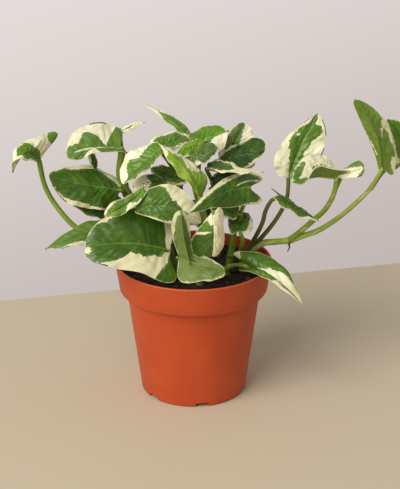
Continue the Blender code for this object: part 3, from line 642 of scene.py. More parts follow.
# %% The cuttings and their leaves
CUTTINGS = {
    "cutting_left": dict(foot=(-34, -4), stem=[(-38, 84, 4), (-43, 93, 5)], leaves={
        "left_far": leaf((-102.5, 148.5, 4), (-112.5, 153, 16), (-120.5, 140.5, 24), (-110.5, 148, 22),
            (-103, 163.5, 2), lobe=(0, 8), full=0.7, inner=((-105.5, 148, 9), (-91, 167, -5)),
            outer=((-120.5, 148.5, 25), (-119.5, 155.5, 15)),
            stalk=[(-55.5, 92, 6), (-77, 103, 9), (-90.5, 117, 5), (-99, 131.5, 3)], thin=1.25),
        "left_low": leaf((-54.5, 103.5, 18), (-75.5, 98.5, 28), (-99, 89.5, 36), (-71.5, 93.5, 32),
            (-67.5, 108.5, 16), start=0.9, stalk=[(-48, 98, 10)]),
        "left_shade": leaf((-46.5, 111.5, 0), (-62.5, 113.5, 4), (-80.5, 118.5, 8), (-57.5, 108.5, 8),
            (-57, 120.5, -6), start=0.8, stalk=[(-42, 102, 0)]),
    }),
    "cutting_upper_left": dict(foot=(-22, 10),
        stem=[(-27, 96, -8), (-36, 113, -4), (-44, 126, -2)], leaves={
        "upper_left": leaf((-47.5, 155.5, 6), (-67.5, 157.5, 13), (-84, 151.5, 20), (-60.5, 154.5, 16),
            (-61.5, 173.5, -4), lobe=(7, 8), full=1.1, inner=((-43.5, 153.5, 8), (-49.5, 168.5, -6)),
            outer=((-77, 149, 22), (-79.5, 167.5, 4)), stalk=[(-49, 139, 0)], thin=1.8),
        "left_sheath": leaf((-65.5, 143.5, 4), (-67.5, 149, 8), (-69.5, 155, 12), (-69.5, 148.5, 9),
            (-65, 151, 7), lobe=1, full=0.8, start=0.75, wave=0.3, bulge=0.5,
            stalk=[(-57, 129, -4), (-63.5, 137, -2)], thin=0.8),
        "left_spike": leaf((-49.5, 167.5, -8), (-41.5, 171.5, -7), (-32.5, 174, -6), (-43.5, 172.5, -9),
            (-42, 169, -6), lobe=1, start=0.95, wave=0.3, bulge=0.4, stalk=[(-46.5, 145, -6)]),
        "left_big": leaf((-48, 129, 6), (-71.5, 132.5, 14), (-96.5, 138.5, 20), (-66.5, 117.5, 17),
            (-65, 145, -2), lobe=(9, 5), full=0.9, inner=((-55.5, 116.5, 12), (-50.5, 135.5, -2)),
            outer=((-85, 121, 22), (-84.5, 144.5, 8))),
    }),
    "cutting_front": dict(foot=(-12, -12), stem=[(-18, 95, 13), (-28, 112, 18), (-36, 122, 24)], leaves={
        "front_big": leaf((-15.5, 88.5, 30), (-43.5, 93.5, 38), (-72, 90.5, 42), (-36.5, 74.5, 47),
            (-33.5, 117, 22), lobe=(9, 3), full=1.25, start=0.15, inner=((-13.5, 67.5, 42), None),
            stalk=[(-15, 84, 22)]),
        "front_small": leaf((-33.5, 128.5, 30), (-46.5, 118.5, 36), (-59.5, 112, 40), (-41.5, 116.5, 38),
            (-43.5, 124.5, 32), lobe=2, full=0.9, outer=((-51, 111.5, 40), (-55, 120.5, 37))),
        "centre": leaf((-37.5, 117.5, 32), (-17, 117.5, 35), (5, 108.5, 32), (-18.5, 132.5, 24),
            (-23, 108, 37), lobe=(5, 3), full=0.9, start=0.97, inner=((-33, 127.5, 29), (-37, 113.5, 33)),
            outer=((-4.5, 126.5, 26), (-3.5, 105.5, 34))),
        "centre_shade": leaf((-13, 127.5, 21), (-23.5, 134.5, 18), (-41.5, 130.5, 18), (-25, 127.5, 23),
            (-25, 139.5, 14), lobe=5, full=0.9, start=0.9, stalk=[(-25, 124.5, 19)],
            outer=((-35, 127, 20), (-36.5, 137, 15))),
    }),
    "cutting_low_front": dict(foot=(4, -26), stem=[(5, 80, 29), (7, 92, 32), (9.5, 104, 36)], leaves={
        "front_upright": leaf((-3, 80.5, 48), (-6.5, 97, 52), (-8.5, 115, 48), (-2, 95.5, 45),
            (-13.5, 96.5, 46), lobe=(1, 2), full=1.15, start=0.1, inner=((-0.5, 87, 46), (-9.5, 85.5, 46)),
            outer=((-3, 108.5, 45), (-14.5, 107.5, 46)), stalk=[(1, 78, 39)], thin=0.7),
        "front_lip": leaf((-10.5, 84, 43), (6.5, 78.5, 50), (20.5, 75.5, 50), (3.5, 68.5, 50),
            (5, 86.5, 48), lobe=(4, 1), full=1.2, start=0.05, inner=((-9.5, 68.5, 47), (-4.5, 85.5, 42)),
            outer=((15.5, 69.5, 51), (14.5, 81, 49)), stalk=[(1.5, 77, 37), (-5.5, 81, 39)], thin=0.75),
        "front_folded": leaf((12.5, 114, 46), (13.5, 99, 52), (12.5, 85, 50), (20, 101.5, 45),
            (-1.5, 97, 42), lobe=(7, 1), full=1.1, bulge=1.6, inner=((18.5, 116.5, 43), (6, 105.5, 44)),
            outer=((19.5, 90.5, 46), (-2, 87.5, 44))),
    }),
    "cutting_back_left": dict(foot=(-8, 22),
        stem=[(-8, 104, -16), (-9, 122, -8), (-10, 138, -2)], leaves={
        "back_left": leaf((-21, 156.5, 20), (-33, 145.5, 26), (-47, 133, 32), (-27.5, 145.5, 27),
            (-41, 155.5, 15), full=0.8, inner=(None, (-25.5, 160.5, 12)), outer=((-37.5, 137.5, 30), None),
            stalk=[(-14, 148, 8)]),
        "back_edge": leaf((-25, 158.5, 3), (-13, 161.5, -3), (-0.5, 162.5, -9), (-16.5, 167.5, -10),
            (-17, 155, 4), stalk=[(-18, 150, 0)]),
        "top_spike": leaf((-0.5, 162.5, -14), (-13.5, 176, -18), (-35.5, 187, -22), (-11, 168, -14),
            (-7.5, 172.5, -20), lobe=1, full=0, start=0.95, stalk=[(-5, 150, -10)]),
        "inner_left": leaf((-6.5, 137, 5), (-17, 139.5, 5), (-29, 143.5, 6), (-18.5, 133.5, 9),
            (-15.5, 144.5, -1), start=0.9),
        "rear_left": leaf((-14.5, 129, -20), (-24, 131.5, -32), (-32, 127.5, -44), (-15, 126, -34),
            (-26.5, 136, -24), full=0.6, start=0.75),
        "rear_mid": leaf((-4.5, 142.5, -20), (-11.5, 141.5, -34), (-20.5, 137.5, -48), (-13.5, 134.5, -38),
            (-9.5, 146.5, -30), full=0.6, start=0.9, stalk=[(-6.5, 138.5, -10)]),
    }),
    "cutting_back": dict(foot=(4, 6), stem=[(6, 95, 2), (7, 108, 11), (6, 117.5, 16)], leaves={
        "young": leaf((4.5, 124, 20), (-4.5, 143.5, 25), (-23.5, 160, 24), (-7.5, 136.5, 28),
            (2.5, 143.5, 18), lobe=(1, 3), full=0.3, wave=1.2, bulge=1.4,
            inner=((0.5, 129.5, 22), (9, 134, 17)), outer=((-16.5, 148, 27), (-11, 153, 20))),
        "top_bright": leaf((-0.5, 160.5, -2), (11.5, 164, -4), (23.5, 168.5, -6), (7.5, 171, -14),
            (11.5, 155.5, 2), lobe=(3, 1), start=0.7, outer=(None, (20.5, 157, -3)),
            stalk=[(1.5, 130, 6), (-1.5, 148, -1)]),
        "inner_green": leaf((6.5, 159.5, 4), (-2.5, 157, 8), (-11.5, 153.5, 12), (-2.5, 151, 12),
            (-1, 161.5, 2), lobe=3, start=0.6, stalk=[(4.5, 128, 6), (3.5, 145, 6)]),
        "inner_low": leaf((13, 107.5, 0), (6.5, 113, 4), (-3.5, 116.5, 6), (3.5, 103.5, 6), (10.5, 121, -4),
            lobe=3, full=0.7, start=0.1, stalk=[(13.5, 98.5, 2)]),
        "back_grey": leaf((-2, 148.5, 14), (6.5, 153.5, 11), (16, 157, 6), (4.5, 158.5, 4),
            (7.5, 147.5, 16), full=0.7, start=0.65, outer=(None, (13.5, 152.5, 10)),
            stalk=[(0.5, 130, 10)]),
    }),
    "cutting_back_right": dict(foot=(16, 22),
        stem=[(16, 104, -18), (16, 120, -12), (17, 134, -8)], leaves={
        "back_round": leaf((23, 154.5, -14), (28.5, 163, -18), (33.5, 173.5, -28), (22.5, 165, -16),
            (39.5, 163, -20), lobe=3, full=1.0, outer=(None, (38.5, 169, -24)), stalk=[(20, 146, -14)]),
        "back_dark": leaf((16.5, 149, -4), (30.5, 151.5, -6), (47.5, 157.5, -10), (31.5, 159.5, -16),
            (28.5, 141.5, 2), lobe=3, full=1.0, outer=((42.5, 164, -16), (41.5, 148, -6)),
            stalk=[(17, 142, -7)]),
        "back_flat": leaf((8.5, 143.5, 8), (25, 141.5, 11), (47, 141, 10), (21.5, 148.5, 2),
            (24.5, 140.5, 15), lobe=2, start=0.9, inner=((11.5, 148, 4), None),
            outer=((33, 143.5, 6), None), stalk=[(12, 136, -4)]),
        "back_inner": leaf((11.5, 134, -2), (19, 137, 0), (28.5, 139.5, -5), (20, 142.5, -7),
            (21, 131.5, 3), full=0.9, start=0.95, outer=((26, 143, -8), (27, 133.5, -1))),
        "rear_right": leaf((19, 131.5, -24), (25.5, 129, -38), (29.5, 122.5, -52), (35, 130, -32),
            (14, 129, -36), full=0.6, start=0.8),
        "rear_low": leaf((3, 122.5, -26), (1.5, 119.5, -44), (4.5, 111.5, -58), (13, 119, -40),
            (-9.5, 121, -36), full=0.6, start=0.5, stalk=[(8, 118, -20)]),
        "rear_high": leaf((28.5, 150.5, -24), (35, 150.5, -36), (40.5, 145.5, -50), (37, 156.5, -32),
            (31, 143, -38), full=0.6, start=1.0, stalk=[(23, 142.5, -16)]),
    }),
    "cutting_right": dict(foot=(24, 2), stem=[(25.5, 90, -2), (27, 102.5, 0)], leaves={
        "right_big": leaf((37.5, 130.5, 10), (19, 127, 24), (-3, 113.5, 42), (29, 117.5, 20),
            (28.5, 140, 2), lobe=(8, 10), full=0.8, outer=((11, 117, 34), (10.5, 128.5, 24)),
            stalk=[(31, 113, 2), (35.5, 124.5, 5)]),
        "right_round": leaf((31, 101.5, 14), (31, 108.5, 0), (30.5, 114.5, -14), (23, 107.5, 2),
            (39.5, 107, 4), full=0.9, start=0.3, stalk=[(31, 88, 6), (32.5, 96, 13)]),
        "right_under": leaf((29.5, 113.5, 6), (21, 117, 9), (9, 120, 12), (18.5, 111, 12), (23, 124, 0),
            lobe=2, start=0.9, stalk=[(31.5, 111.5, 3)]),
    }),
    "cutting_right_low": dict(foot=(22, -8), stem=[(24, 78, 10)], leaves={
        "right_low": leaf((37.5, 77.5, 22), (53, 71, 36), (72.5, 52.5, 44), (50, 84.5, 20),
            (43.5, 72.5, 37), lobe=(14, 10), full=0.5, inner=((27, 87.5, 16), None),
            outer=((65, 71.5, 35), None), stalk=[(30, 79, 16)]),
    }),
    "cutting_vine": dict(foot=(33, 10),
        stem=[(37, 88, -9), (46, 93.5, -9), (54, 94.5, -9), (64, 95.5, -9), (73, 98.5, -9),
         (84, 102.5, -10), (96.5, 110.5, -11), (108.5, 120.5, -11), (118, 130, -11)], taper=0.55,
        roots=[[(62.5, 95, -9), (64, 91, -8), (62.5, 88, -8)]], leaves={
        "vine_cream": leaf((63.5, 137, -6), (71, 157.5, -12), (83, 180.5, -16), (54, 149.5, -6),
            (84.5, 151.5, -10), lobe=(1, 2), full=0.7, start=0.12, inner=((55.5, 140.5, -4), None),
            outer=((62.5, 164.5, -12), (88.5, 166.5, -14)),
            stalk=[(51, 104, -9), (59, 116, -7), (62.5, 125, -6)]),
        "vine_narrow": leaf((57, 124.5, 6), (68.5, 116.5, 10), (85, 107.5, 12), (65.5, 120.5, -1),
            (61, 116.5, 13), lobe=(9, 2), start=0.06, stalk=[(45, 105, -3), (48, 115, 1), (52, 122, 4)]),
        "vine_flat": leaf((95.5, 137.5, 4), (81, 138, 8), (65.5, 134.5, 12), (81, 144.5, 14),
            (85.5, 152.5, -6), lobe=(9, 2), full=0.8, start=0.42,
            inner=((104.5, 141.5, 11), (94.5, 145, -4)), outer=((73.5, 132, 18), (71, 149, 2)),
            stalk=[(72, 102, -7), (80, 109, -4), (88, 116.5, 0), (93.5, 126.5, 2)], thin=1.25),
        "vine_curl": leaf((99, 139.5, 3), (106.5, 141.5, 7), (113.5, 143.5, 9), (105.5, 146, 2),
            (105.5, 137.5, 11), lobe=(1, 2), full=1.2, start=0.42, wave=0.3, bulge=1.2,
            inner=((101.5, 143, 1), None), outer=((110, 148.5, 4), (111.5, 138, 13)),
            stalk=[(72, 102, -7), (80, 109, -4), (88, 116.5, 0), (93.5, 126.5, 2)], thin=0.8),
        "vine_tall": leaf((125, 142.5, -10), (121, 167.5, -5), (107.5, 189.5, -3), (133, 157.5, -13),
            (118, 159, -12), lobe=(4, 1), full=1.3, inner=((133.5, 140.5, -13), (123, 145, -12)),
            outer=((127, 176.5, -8), (111.5, 174.5, -8)), thin=0.88),
        "vine_end": leaf((140, 148, -28), (137.5, 163.5, -27), (129, 176.5, -27), (129.5, 162.5, -23),
            (145.5, 165, -31), stalk=[(127, 142, -17), (133.5, 143.5, -24)]),
    }),
}

print("leaves:", sum(len(spec["leaves"]) for spec in CUTTINGS.values()), "on", len(CUTTINGS), "cuttings")

# %% [markdown]
# A leaf's surface is a formula of two numbers: s runs along it from base to tip, and v runs across
# it from the left margin (-1) over the midrib (0) to the right margin (1). The outline is a heart
# drawn out to a point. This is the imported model's formula, read at many more places. HEART_PULL
# draws the two lobes of the base back past the stalk, and HEART_LEAST keeps them from vanishing.

# %% The form of a leaf
STATIONS = (0.15, 0.44, 0.75)
HEART_PULL = 14.93
HEART_LEAST = 0.127


def midrib(places, t):
    """The midrib's point and direction at the fraction t, straight on before its base."""
    base, mid, tip = places
    control = mid * 2 - (base + tip) / 2
    inside = max(t, 0)
    point = base * (1 - inside) ** 2 + control * 2 * inside * (1 - inside) + tip * inside ** 2
    slope = (control - base) * (1 - inside) + (tip - control) * inside
    length = (mid - base).length + (tip - mid).length
    return point + slope.normalized() * length * (t - inside), slope.normalized()


def margin(s, reach, full):
    """The outline of one half at s, from base (0) to tip (1), as (fraction along, fraction out)."""
    along = s ** 1.15 - reach * HEART_PULL * s * (1 - s) ** 5
    power = (1 - full) * (0.62 + 0.6 * s) + full * 0.58
    out = math.sin(math.pi * s ** 0.85) ** power if 0 < s < 1 else 0
    return along, out


def side_vector(sides, s):
    """How far one margin stands off the midrib at s, blended between the places it passes."""
    part = 0 if s <= STATIONS[1] else 1
    t = (s - STATIONS[part]) / (STATIONS[part + 1] - STATIONS[part])
    return sides[part].lerp(sides[part + 1], min(max(t, 0), 1))


def blade_sides(spec, places, reach, half):
    """The three vectors from midrib to margin that one half of a leaf is drawn with."""
    sides = []
    for s, place in zip(STATIONS, spec[("left", "right")[half]]):
        along, out = margin(s, reach, spec["full"])
        sides.append(None if place is None else (seen(place) - midrib(places, along)[0]) / out)
    return [side or sides[1] for side in sides]


def blade_shape(spec, seed):
    """What blade_point needs, worked out from a leaf's places."""
    places = [seen(spec[key]) for key in ("base", "mid", "tip")]
    length = (places[1] - places[0]).length + (places[2] - places[1]).length
    reach = [lobe * MM / length + HEART_LEAST for lobe in spec["lobe"]]
    return {"midrib": places, "reach": reach, "full": spec["full"], "bulge": spec["bulge"] * MM,
            "sides": [blade_sides(spec, places, reach[half], half) for half in (0, 1)],
            "wave": spec["wave"] * MM, "phase": random.Random(seed).random()}


def soft_side(sides, s):
    """side_vector with its corners at the stations rounded off."""
    spread = ((-0.08, 1), (-0.04, 2), (0, 2), (0.04, 2), (0.08, 1))
    return sum((side_vector(sides, s + shift) * weight for shift, weight in spread), Vector()) / 8


def leaf_row(shape, s):
    """What all the points of a leaf at one s share."""
    halves = [margin(s, shape["reach"][half], shape["full"]) for half in (0, 1)]
    return {"s": s, "rib": s * (0.7 + 0.3 * s), "halves": halves,
            "sides": [soft_side(sides, s) for sides in shape["sides"]]}


print("outline at mid-length, (along, out):", [round(n, 2) for n in margin(0.5, 0.2, 0.5)])

# %% [markdown]
# A pothos leaf isn't flat between its edges. The midrib is a sharp crease, and the side veins run
# from it at a slant towards the tip, each pressed in a little, so that the blade swells between
# them. The margin waves a little too. These are only tenths of a millimetre, but they break up the
# shine as on the real leaf, so they are real relief here, added to the form along its normal.

# %% Veins and waves
SIDE_VEINS = 8.5
VEIN_SLANT = 0.24
VEIN_STRAY = 0.7
QUILT_DEPTH = 0.90 * MM
CREASE_DEPTH = 0.30 * MM
CREASE_WIDTH = 0.05
CRUMPLE_DEPTH = 1.0 * MM
WAVE_COUNT = 3.2
FLUTTER_COUNT = 8.6


def vein_place(shape, s, v):
    """The side vein's number at a place, whole on the veins and halfway between them at .5."""
    stray = noise.noise(Vector((s * 6, abs(v) * 1.4, shape["phase"] * 30 + math.copysign(9, v))))
    return (s - VEIN_SLANT * abs(v)) * SIDE_VEINS + VEIN_STRAY * stray


def vein_relief(shape, s, v, out):
    """How far the veins press the surface in or let it swell."""
    swell = abs(math.sin(math.pi * vein_place(shape, s, v))) ** 0.7 - 0.6
    fade = min(1.0, abs(v) * 7) * (1 - abs(v) ** 4) * min(1.0, s * 6) * out
    return QUILT_DEPTH * swell * fade - CREASE_DEPTH * math.exp(-(v / CREASE_WIDTH) ** 2) * out


def crumple(shape, s, v, out):
    """The soft dents and swellings of a leaf that grew between others."""
    place = Vector((s * 5.5, v * 2.6, shape["phase"] * 40))
    fade = min(1.0, s * 5) * min(1.0, (1 - s) * 8) * out
    waves = noise.noise(place) + 0.5 * noise.noise(place * 2.3) + 0.25 * noise.noise(place * 4.1)
    return CRUMPLE_DEPTH * waves * fade


def blade_point(shape, row, v):
    """A leaf's middle surface on one row, at v from left (-1) to right (1), and its normal."""
    half = 1 if v > 0 else 0
    s, (along, out) = row["s"], row["halves"][half]
    x = row["rib"] + (along - row["rib"]) * abs(v) ** 1.3
    point, slope = midrib(shape["midrib"], x)
    left, right = row["sides"]
    normal = (right - left).cross(slope).normalized()
    swing = math.sin(2 * math.pi * (WAVE_COUNT * s + shape["phase"] + 0.35 * half))
    flutter = math.sin(2 * math.pi * (FLUTTER_COUNT * s + 3 * shape["phase"] + 0.5 * half))
    swell = shape["bulge"] * 4 * abs(v) * (1 - abs(v)) * out
    ripple = shape["wave"] * (abs(v) ** 2.2 * swing + 0.22 * abs(v) ** 4 * flutter) * out
    height = swell + ripple + vein_relief(shape, s, v, out) + crumple(shape, s, v, out)
    return point + row["sides"][half] * out * abs(v) + normal * height, normal


print("side veins a half:", SIDE_VEINS, "at a slant of", VEIN_SLANT)

# %% [markdown]
# The leaves are green and cream in patches that follow the halves and the side veins. No picture is
# used for them. Each half says how far from the midrib its cream starts, as (s, from) at a few
# places from base to tip, or as (s, from, to) where the cream is a stripe. A start over 1 means no
# cream there. Round spots as (s, v, radius in mm) add cream or green. tone runs from dark (0) to
# bright (1); it is partly the leaf's own green and partly painted shade and painted light, and
# it goes below 0 for leaves in deep painted shade. The greyness after it runs from clean green to
# grey-green: the leaf's own grey, and on some leaves a painted sheen. edge lists brown stretches
# of a margin, as (half, from s, to s), and brown lists brown spots.

# %% Where each leaf is cream, green and brown
NONE = [(0, 1.1)]
ALL = [(0, -0.1)]


def paint(tone, grey, left=NONE, right=NONE, cream=(), green=(), brown=(), edge=(), shade=(),
          stripes=()):
    """How one leaf is marked. shade lists spots of painted shade and painted light, as (s, v, radius,
    change of tone).

    stripes lists more stripes of cream, each as (half, its rows of (s, from, to)).
    """
    return {"tone": tone, "grey": grey, "halves": (left, right), "cream": cream, "green": green,
            "brown": brown, "edge": edge, "shade": shade, "stripes": stripes}


# Low and negative tones and the shade spots in this table are partly painted shade and painted light, for
# leaves that lie in shadow or catch the light.
PAINT = {
    "left_far": paint(0.55, 0.2, [(0, 0.9), (0.2, 0.75), (0.5, 0.75), (0.62, 0.5), (0.68, 0)],
        [(0, 0.1), (0.2, 0.2), (0.4, 0.3), (0.5, 0.5), (0.6, 0.8), (0.7, 0.8), (0.78, 0.3), (0.85, 0)],
        green=[(0.18, 0.85, 5)], brown=[(1, 0, 2)]),
    "left_low": paint(0.35, 0.5,
        [(0.35, 1.1), (0.42, 0.85), (0.5, 0.62), (0.6, 0.72), (0.68, 0.9), (0.75, 1.05)],
        edge=[(0, 0.62, 0.75)], brown=[(1, 0, 1.6)]),
    "left_shade": paint(0.05, 0.1),
    "upper_left": paint(0.35, 0.35, [(0.45, 1.1), (0.52, 0.3), (0.6, 0.35), (0.66, 1.1)],
        [(0.22, 1.1), (0.27, 0.4), (0.31, 0.08), (0.36, 0.14), (0.42, 0.27), (0.5, 0.43), (0.59, 0.66),
         (0.65, 0.7), (0.7, 0.55), (0.76, 0.35), (0.8, 0.38), (0.85, 0.45), (0.9, 0.6),
         (0.95, 0.8), (1, 1)],
        stripes=[(0, [(0, 0.02, 0.5), (0.3, 0.02, 0.4), (0.5, 0, 0.35), (0.88, 0, 0.2)])],
        edge=[(1, 0.35, 0.55)], shade=[(0.1, 0.5, 7, 0.6)]),
    "left_sheath": paint(0.1, 0.3, [(0, 0.8), (0.5, 0.5), (0.8, 0.2), (1, 0)], [(0, 1), (1, 0.9)]),
    "left_spike": paint(0.5, 0.2, [(0, 0), (1, 0)], [(0, 0.25), (0.6, 0.25), (0.7, 0)],
        brown=[(1, 0, 1.5)]),
    "left_big": paint(0.12, 0.1,
        [(0.1, 1), (0.2, 0.9), (0.3, 0.92), (0.4, 0.89), (0.5, 0.83), (0.6, 0.78), (0.7, 0.83), (0.8, 0.85),
         (0.9, 0.95)],
        [(0.05, 0.5), (0.1, 0.5), (0.2, 0.64), (0.3, 0.72), (0.4, 0.82), (0.5, 0.8), (0.6, 0.77),
         (0.7, 0.75), (0.8, 0.87), (0.9, 0.85), (1, 1)], edge=[(0, 0.75, 0.95)],
        shade=[(0.7, 0.2, 6, 0.2), (0.4, 0.2, 6, 0.2), (0.1, 0.2, 6, 0.2)]),
    "front_big": paint(0.12, 0.08,
        [(0.04, 0.15, 0.3), (0.08, 0.12, 0.38), (0.12, 0.14, 0.46), (0.18, 0.3, 0.55), (0.22, 0.29, 0.63),
         (0.26, 0.26, 0.75), (0.3, 0.3, 0.88), (0.33, 0.33, 1.1), (0.36, 0.4, 9), (0.4, 0.45), (0.43, 0.31),
         (0.47, 0.42), (0.5, 0.34), (0.525, 0.27), (0.55, 0.4), (0.59, 0.62), (0.65, 0.72), (0.73, 0.83),
         (0.8, 0.93), (0.86, 0.98), (1, 1)],
        [(0, 0, 0.2), (0.06, 0, 0.5), (0.1, 0.15, 0.75), (0.13, 0.3, 0.9), (0.16, 0.42, 1.1),
         (0.21, 0.6, 9), (0.26, 0.8), (0.3, 1.1), (0.62, 1.1), (0.68, 0.92), (0.73, 0.83), (0.8, 0.82),
         (0.86, 0.92), (1, 0.95)], cream=[(0.97, -0.4, 2.4)], edge=[(0, 0.7, 0.9)],
        shade=[(0.22, 0.35, 10, -0.3), (0.05, 0.8, 5, 0.6), (0.15, -0.8, 7, 0.25)]),
    "front_small": paint(0.5, 0.4,
        [(0.2, 1.1), (0.3, 0.8), (0.36, 0.5), (0.42, 0.25), (0.48, 0.2), (0.52, 0.7), (0.56, 1.1),
         (0.96, 1), (1, 0.3)],
        [(0, 0.97), (0.5, 0.95), (0.6, 0.9), (0.7, 0.78), (0.8, 0.72), (0.9, 0.6), (0.96, 0.3), (1, 0.2)],
        shade=[(0.85, -0.3, 5, 0.35), (0.1, 0, 5, 0.5)]),
    "centre": paint(0.2, 0.2,
        [(0, 0.97), (0.3, 0.95), (0.38, 0.9), (0.45, 0.8), (0.5, 0.62), (0.56, 0.45), (0.6, 0.3),
         (0.64, 0.38), (0.7, 0.2), (0.78, 0.1), (0.85, 0), (1, 0)],
        [(0, 0.95), (0.3, 0.9), (0.5, 0.85), (0.65, 0.8), (0.75, 0.7), (0.8, 0.3), (0.85, 0), (1, 0)]),
    "centre_shade": paint(0.1, 0.1, [(0, 0.9), (0.56, 0.9), (0.64, 0.75), (0.7, 0), (1, 0)],
        [(0, 0.9), (0.58, 0.9), (0.66, 0.7), (0.72, 0), (1, 0)]),
    "front_upright": paint(-0.25, 0.3,
        [(0, 1.05), (0.4, 0.95), (0.5, 0.85), (0.6, 0.75), (0.7, 0.62), (0.8, 0.55), (0.88, 0.5),
         (0.93, 0.3), (0.96, 0)],
        [(0, 1.05), (0.35, 0.97), (0.45, 0.93), (0.55, 0.85), (0.65, 0.66), (0.75, 0.62), (0.85, 0.65),
         (0.9, 0.6), (0.93, 0.3), (0.96, 0)],
        shade=[(0.85, 0, 8, -0.55), (0.65, -0.3, 9, -0.55), (0.6, 0.5, 5, -0.25), (0.2, 0.3, 8, 0.25)]),
    "front_lip": paint(0.08, 0.7, [(0, 0.97), (0.3, 0.93), (0.9, 0.85)],
        [(0, 1.05), (0.35, 0.97), (0.42, 0.85), (0.5, 0.78), (0.8, 0.78), (1, 0.8)],
        shade=[(0.5, 0.2, 9, -0.25)]),
    "front_folded": paint(-0.05, 0.1, ALL,
        [(0, 0), (0.1, 0), (0.16, 0.85), (0.3, 0.93), (0.5, 0.9), (1, 0.95)],
        stripes=[(1, [(0.05, 0, 0.6), (0.14, 0, 0.4), (0.24, 0, 0.24), (0.36, 0, 0.05)]),
         (1, [(0.32, 0.84, 1), (0.36, 0.64, 0.92), (0.4, 0.44, 0.74), (0.44, 0.24, 0.54),
              (0.48, 0.06, 0.34)])],
        shade=[(0.3, 0.35, 7, 0.45), (0.28, 0.7, 6, 0.3)]),
    "back_left": paint(0.45, 0.2, [(0, 1), (0.5, 0.9), (1, 0.7)],
        [(0, 1), (0.1, 1), (0.2, 0.85), (0.3, 0.65), (0.4, 0.5), (0.5, 0.45), (0.6, 0.75), (0.7, 0.7),
         (0.8, 0.46), (0.9, 0.12), (1, 0)]),
    "back_edge": paint(0.5, 0.2, [(0, 0.8), (0.6, 0.75), (0.9, 0.4), (1, 0)], [(0, 0.95), (1, 0.5)]),
    "top_spike": paint(0.5, 0.4, [(0.65, 1.1), (0.75, 0.5), (0.85, 0)],
        [(0, 0.9), (0.4, 0.7), (0.6, 0.5), (0.7, 0.2), (1, 0)]),
    "inner_left": paint(0.3, 0.2, [(0, 0.85), (1, 0.7)], [(0, 0.9), (1, 0.8)]),
    "rear_left": paint(0.35, 0.2, [(0, 0.8), (0.5, 0.7), (0.7, 0.3), (1, 0.4)], [(0, 0.9), (1, 0.9)]),
    "rear_mid": paint(0.4, 0.3, [(0, 0.95), (1, 0.8)], [(0, 0.4), (0.3, 0.6), (0.6, 0.5), (1, 0.9)]),
    "young": paint(1.1, 0.22, [(0.8, 1.1), (0.87, 0.35), (0.95, 0.1), (1, 0)],
        [(0.36, 1.1), (0.42, 0.5), (0.5, 0.22), (0.58, 0.1), (0.65, 0.3), (0.72, 0.5), (0.78, 0.3),
         (0.84, 0)], shade=[(0.75, -0.3, 7, -0.35), (0.2, 0.4, 8, -0.35), (0.5, -0.4, 8, 0.3)]),
    "top_bright": paint(0.6, 0.12, [(0.85, 1.05), (0.9, 0.7), (0.95, 0.2), (1, 0)],
        [(0.32, 1.1), (0.4, 0.72), (0.5, 0.36), (0.6, 0.16), (0.7, 0)], brown=[(1, 0, 1.5)],
        shade=[(0.2, -0.4, 6, -0.25)]),
    "inner_green": paint(0.8, 0.1, [(0, 0.95), (1, 0.8)], [(0, 0.95), (1, 0.9)]),
    "inner_low": paint(0.1, 0.15, [(0, 0.95), (1, 0.8)], [(0, 0.9), (1, 0.85)]),
    "back_grey": paint(0.1, 0.6, [(0, 0.6), (0.15, 0.7), (0.3, 0.85), (0.5, 0.95)],
        [(0, 1.1), (0.2, 1), (0.26, 0.6), (0.34, 0.6), (0.42, 1.1)], shade=[(0.5, 0.6, 6, -0.35)]),
    "back_round": paint(0.45, 0.75,
        right=[(0, 0.6), (0.3, 0.4), (0.4, 0.3), (0.5, 0.27), (0.8, 0.27), (0.9, 0.4), (1, 0.5)],
        shade=[(0.2, -0.5, 7, -0.3)]),
    "back_dark": paint(-0.25, 0.05,
        [(0, 0.1), (0.1, 0.3), (0.2, 0.5), (0.3, 0.62), (0.36, 0.78), (0.42, 1.1)],
        [(0.5, 1.1), (0.6, 0.85), (0.75, 0.76), (0.85, 0.85), (0.95, 1)], shade=[(0.8, -0.5, 8, 0.3)]),
    "back_flat": paint(0.0, 0.3,
        [(0, 0.85), (0.2, 0.8), (0.35, 0.74), (0.45, 0.7), (0.55, 0.6), (0.62, 0.2), (0.68, 0)], ALL,
        brown=[(1, 0, 1.2)]),
    "back_inner": paint(-0.2, 0.1, [(0, 0.95), (1, 0.9)], [(0, 0.95), (1, 0.9)]),
    "rear_right": paint(0.4, 0.2, [(0, 0.5), (0.5, 0.6), (1, 0.3)], [(0, 0.95), (1, 0.8)]),
    "rear_low": paint(0.3, 0.2, [(0, 0.95), (1, 0.8)], [(0, 0.9), (0.4, 0.7), (0.7, 0.4), (1, 0.6)]),
    "rear_high": paint(0.45, 0.3, [(0, 0.85), (0.4, 0.5), (0.7, 0.6), (1, 0.9)], [(0, 0.95), (1, 0.9)]),
    "right_big": paint(0.15, 0.05, [(0, 0.86), (0.2, 0.88), (0.35, 0.92), (0.42, 1.1)],
        [(0, 0.9), (0.1, 0.88), (0.3, 0.93), (0.34, 0.9), (0.38, 0.76), (0.44, 0.67), (0.5, 0.62),
         (0.6, 0.57), (0.7, 0.55), (0.8, 0.45), (0.9, 0.2), (1, 0)],
        stripes=[
         (1, [(0.08, 0.74, 0.88), (0.15, 0.56, 0.7), (0.22, 0.37, 0.5), (0.3, 0.2, 0.33),
              (0.38, 0.07, 0.17)])],
        green=[(0.58, 0.84, 0.8), (0.53, 0.84, 0.8), (0.48, 0.86, 0.7)],
        shade=[(0.25, -0.3, 10, 0.15), (0.6, 0.1, 8, -0.25)]),
    "right_round": paint(0.2, 0.1, [(0, 0.95), (1, 0.95)], [(0, 0.6), (0.5, 0.75), (1, 1.1)]),
    "right_under": paint(0.25, 0.1, [(0, 0.8), (1, 0.8)], [(0, 0.85), (1, 0.85)]),
    "right_low": paint(0.28, 0.15,
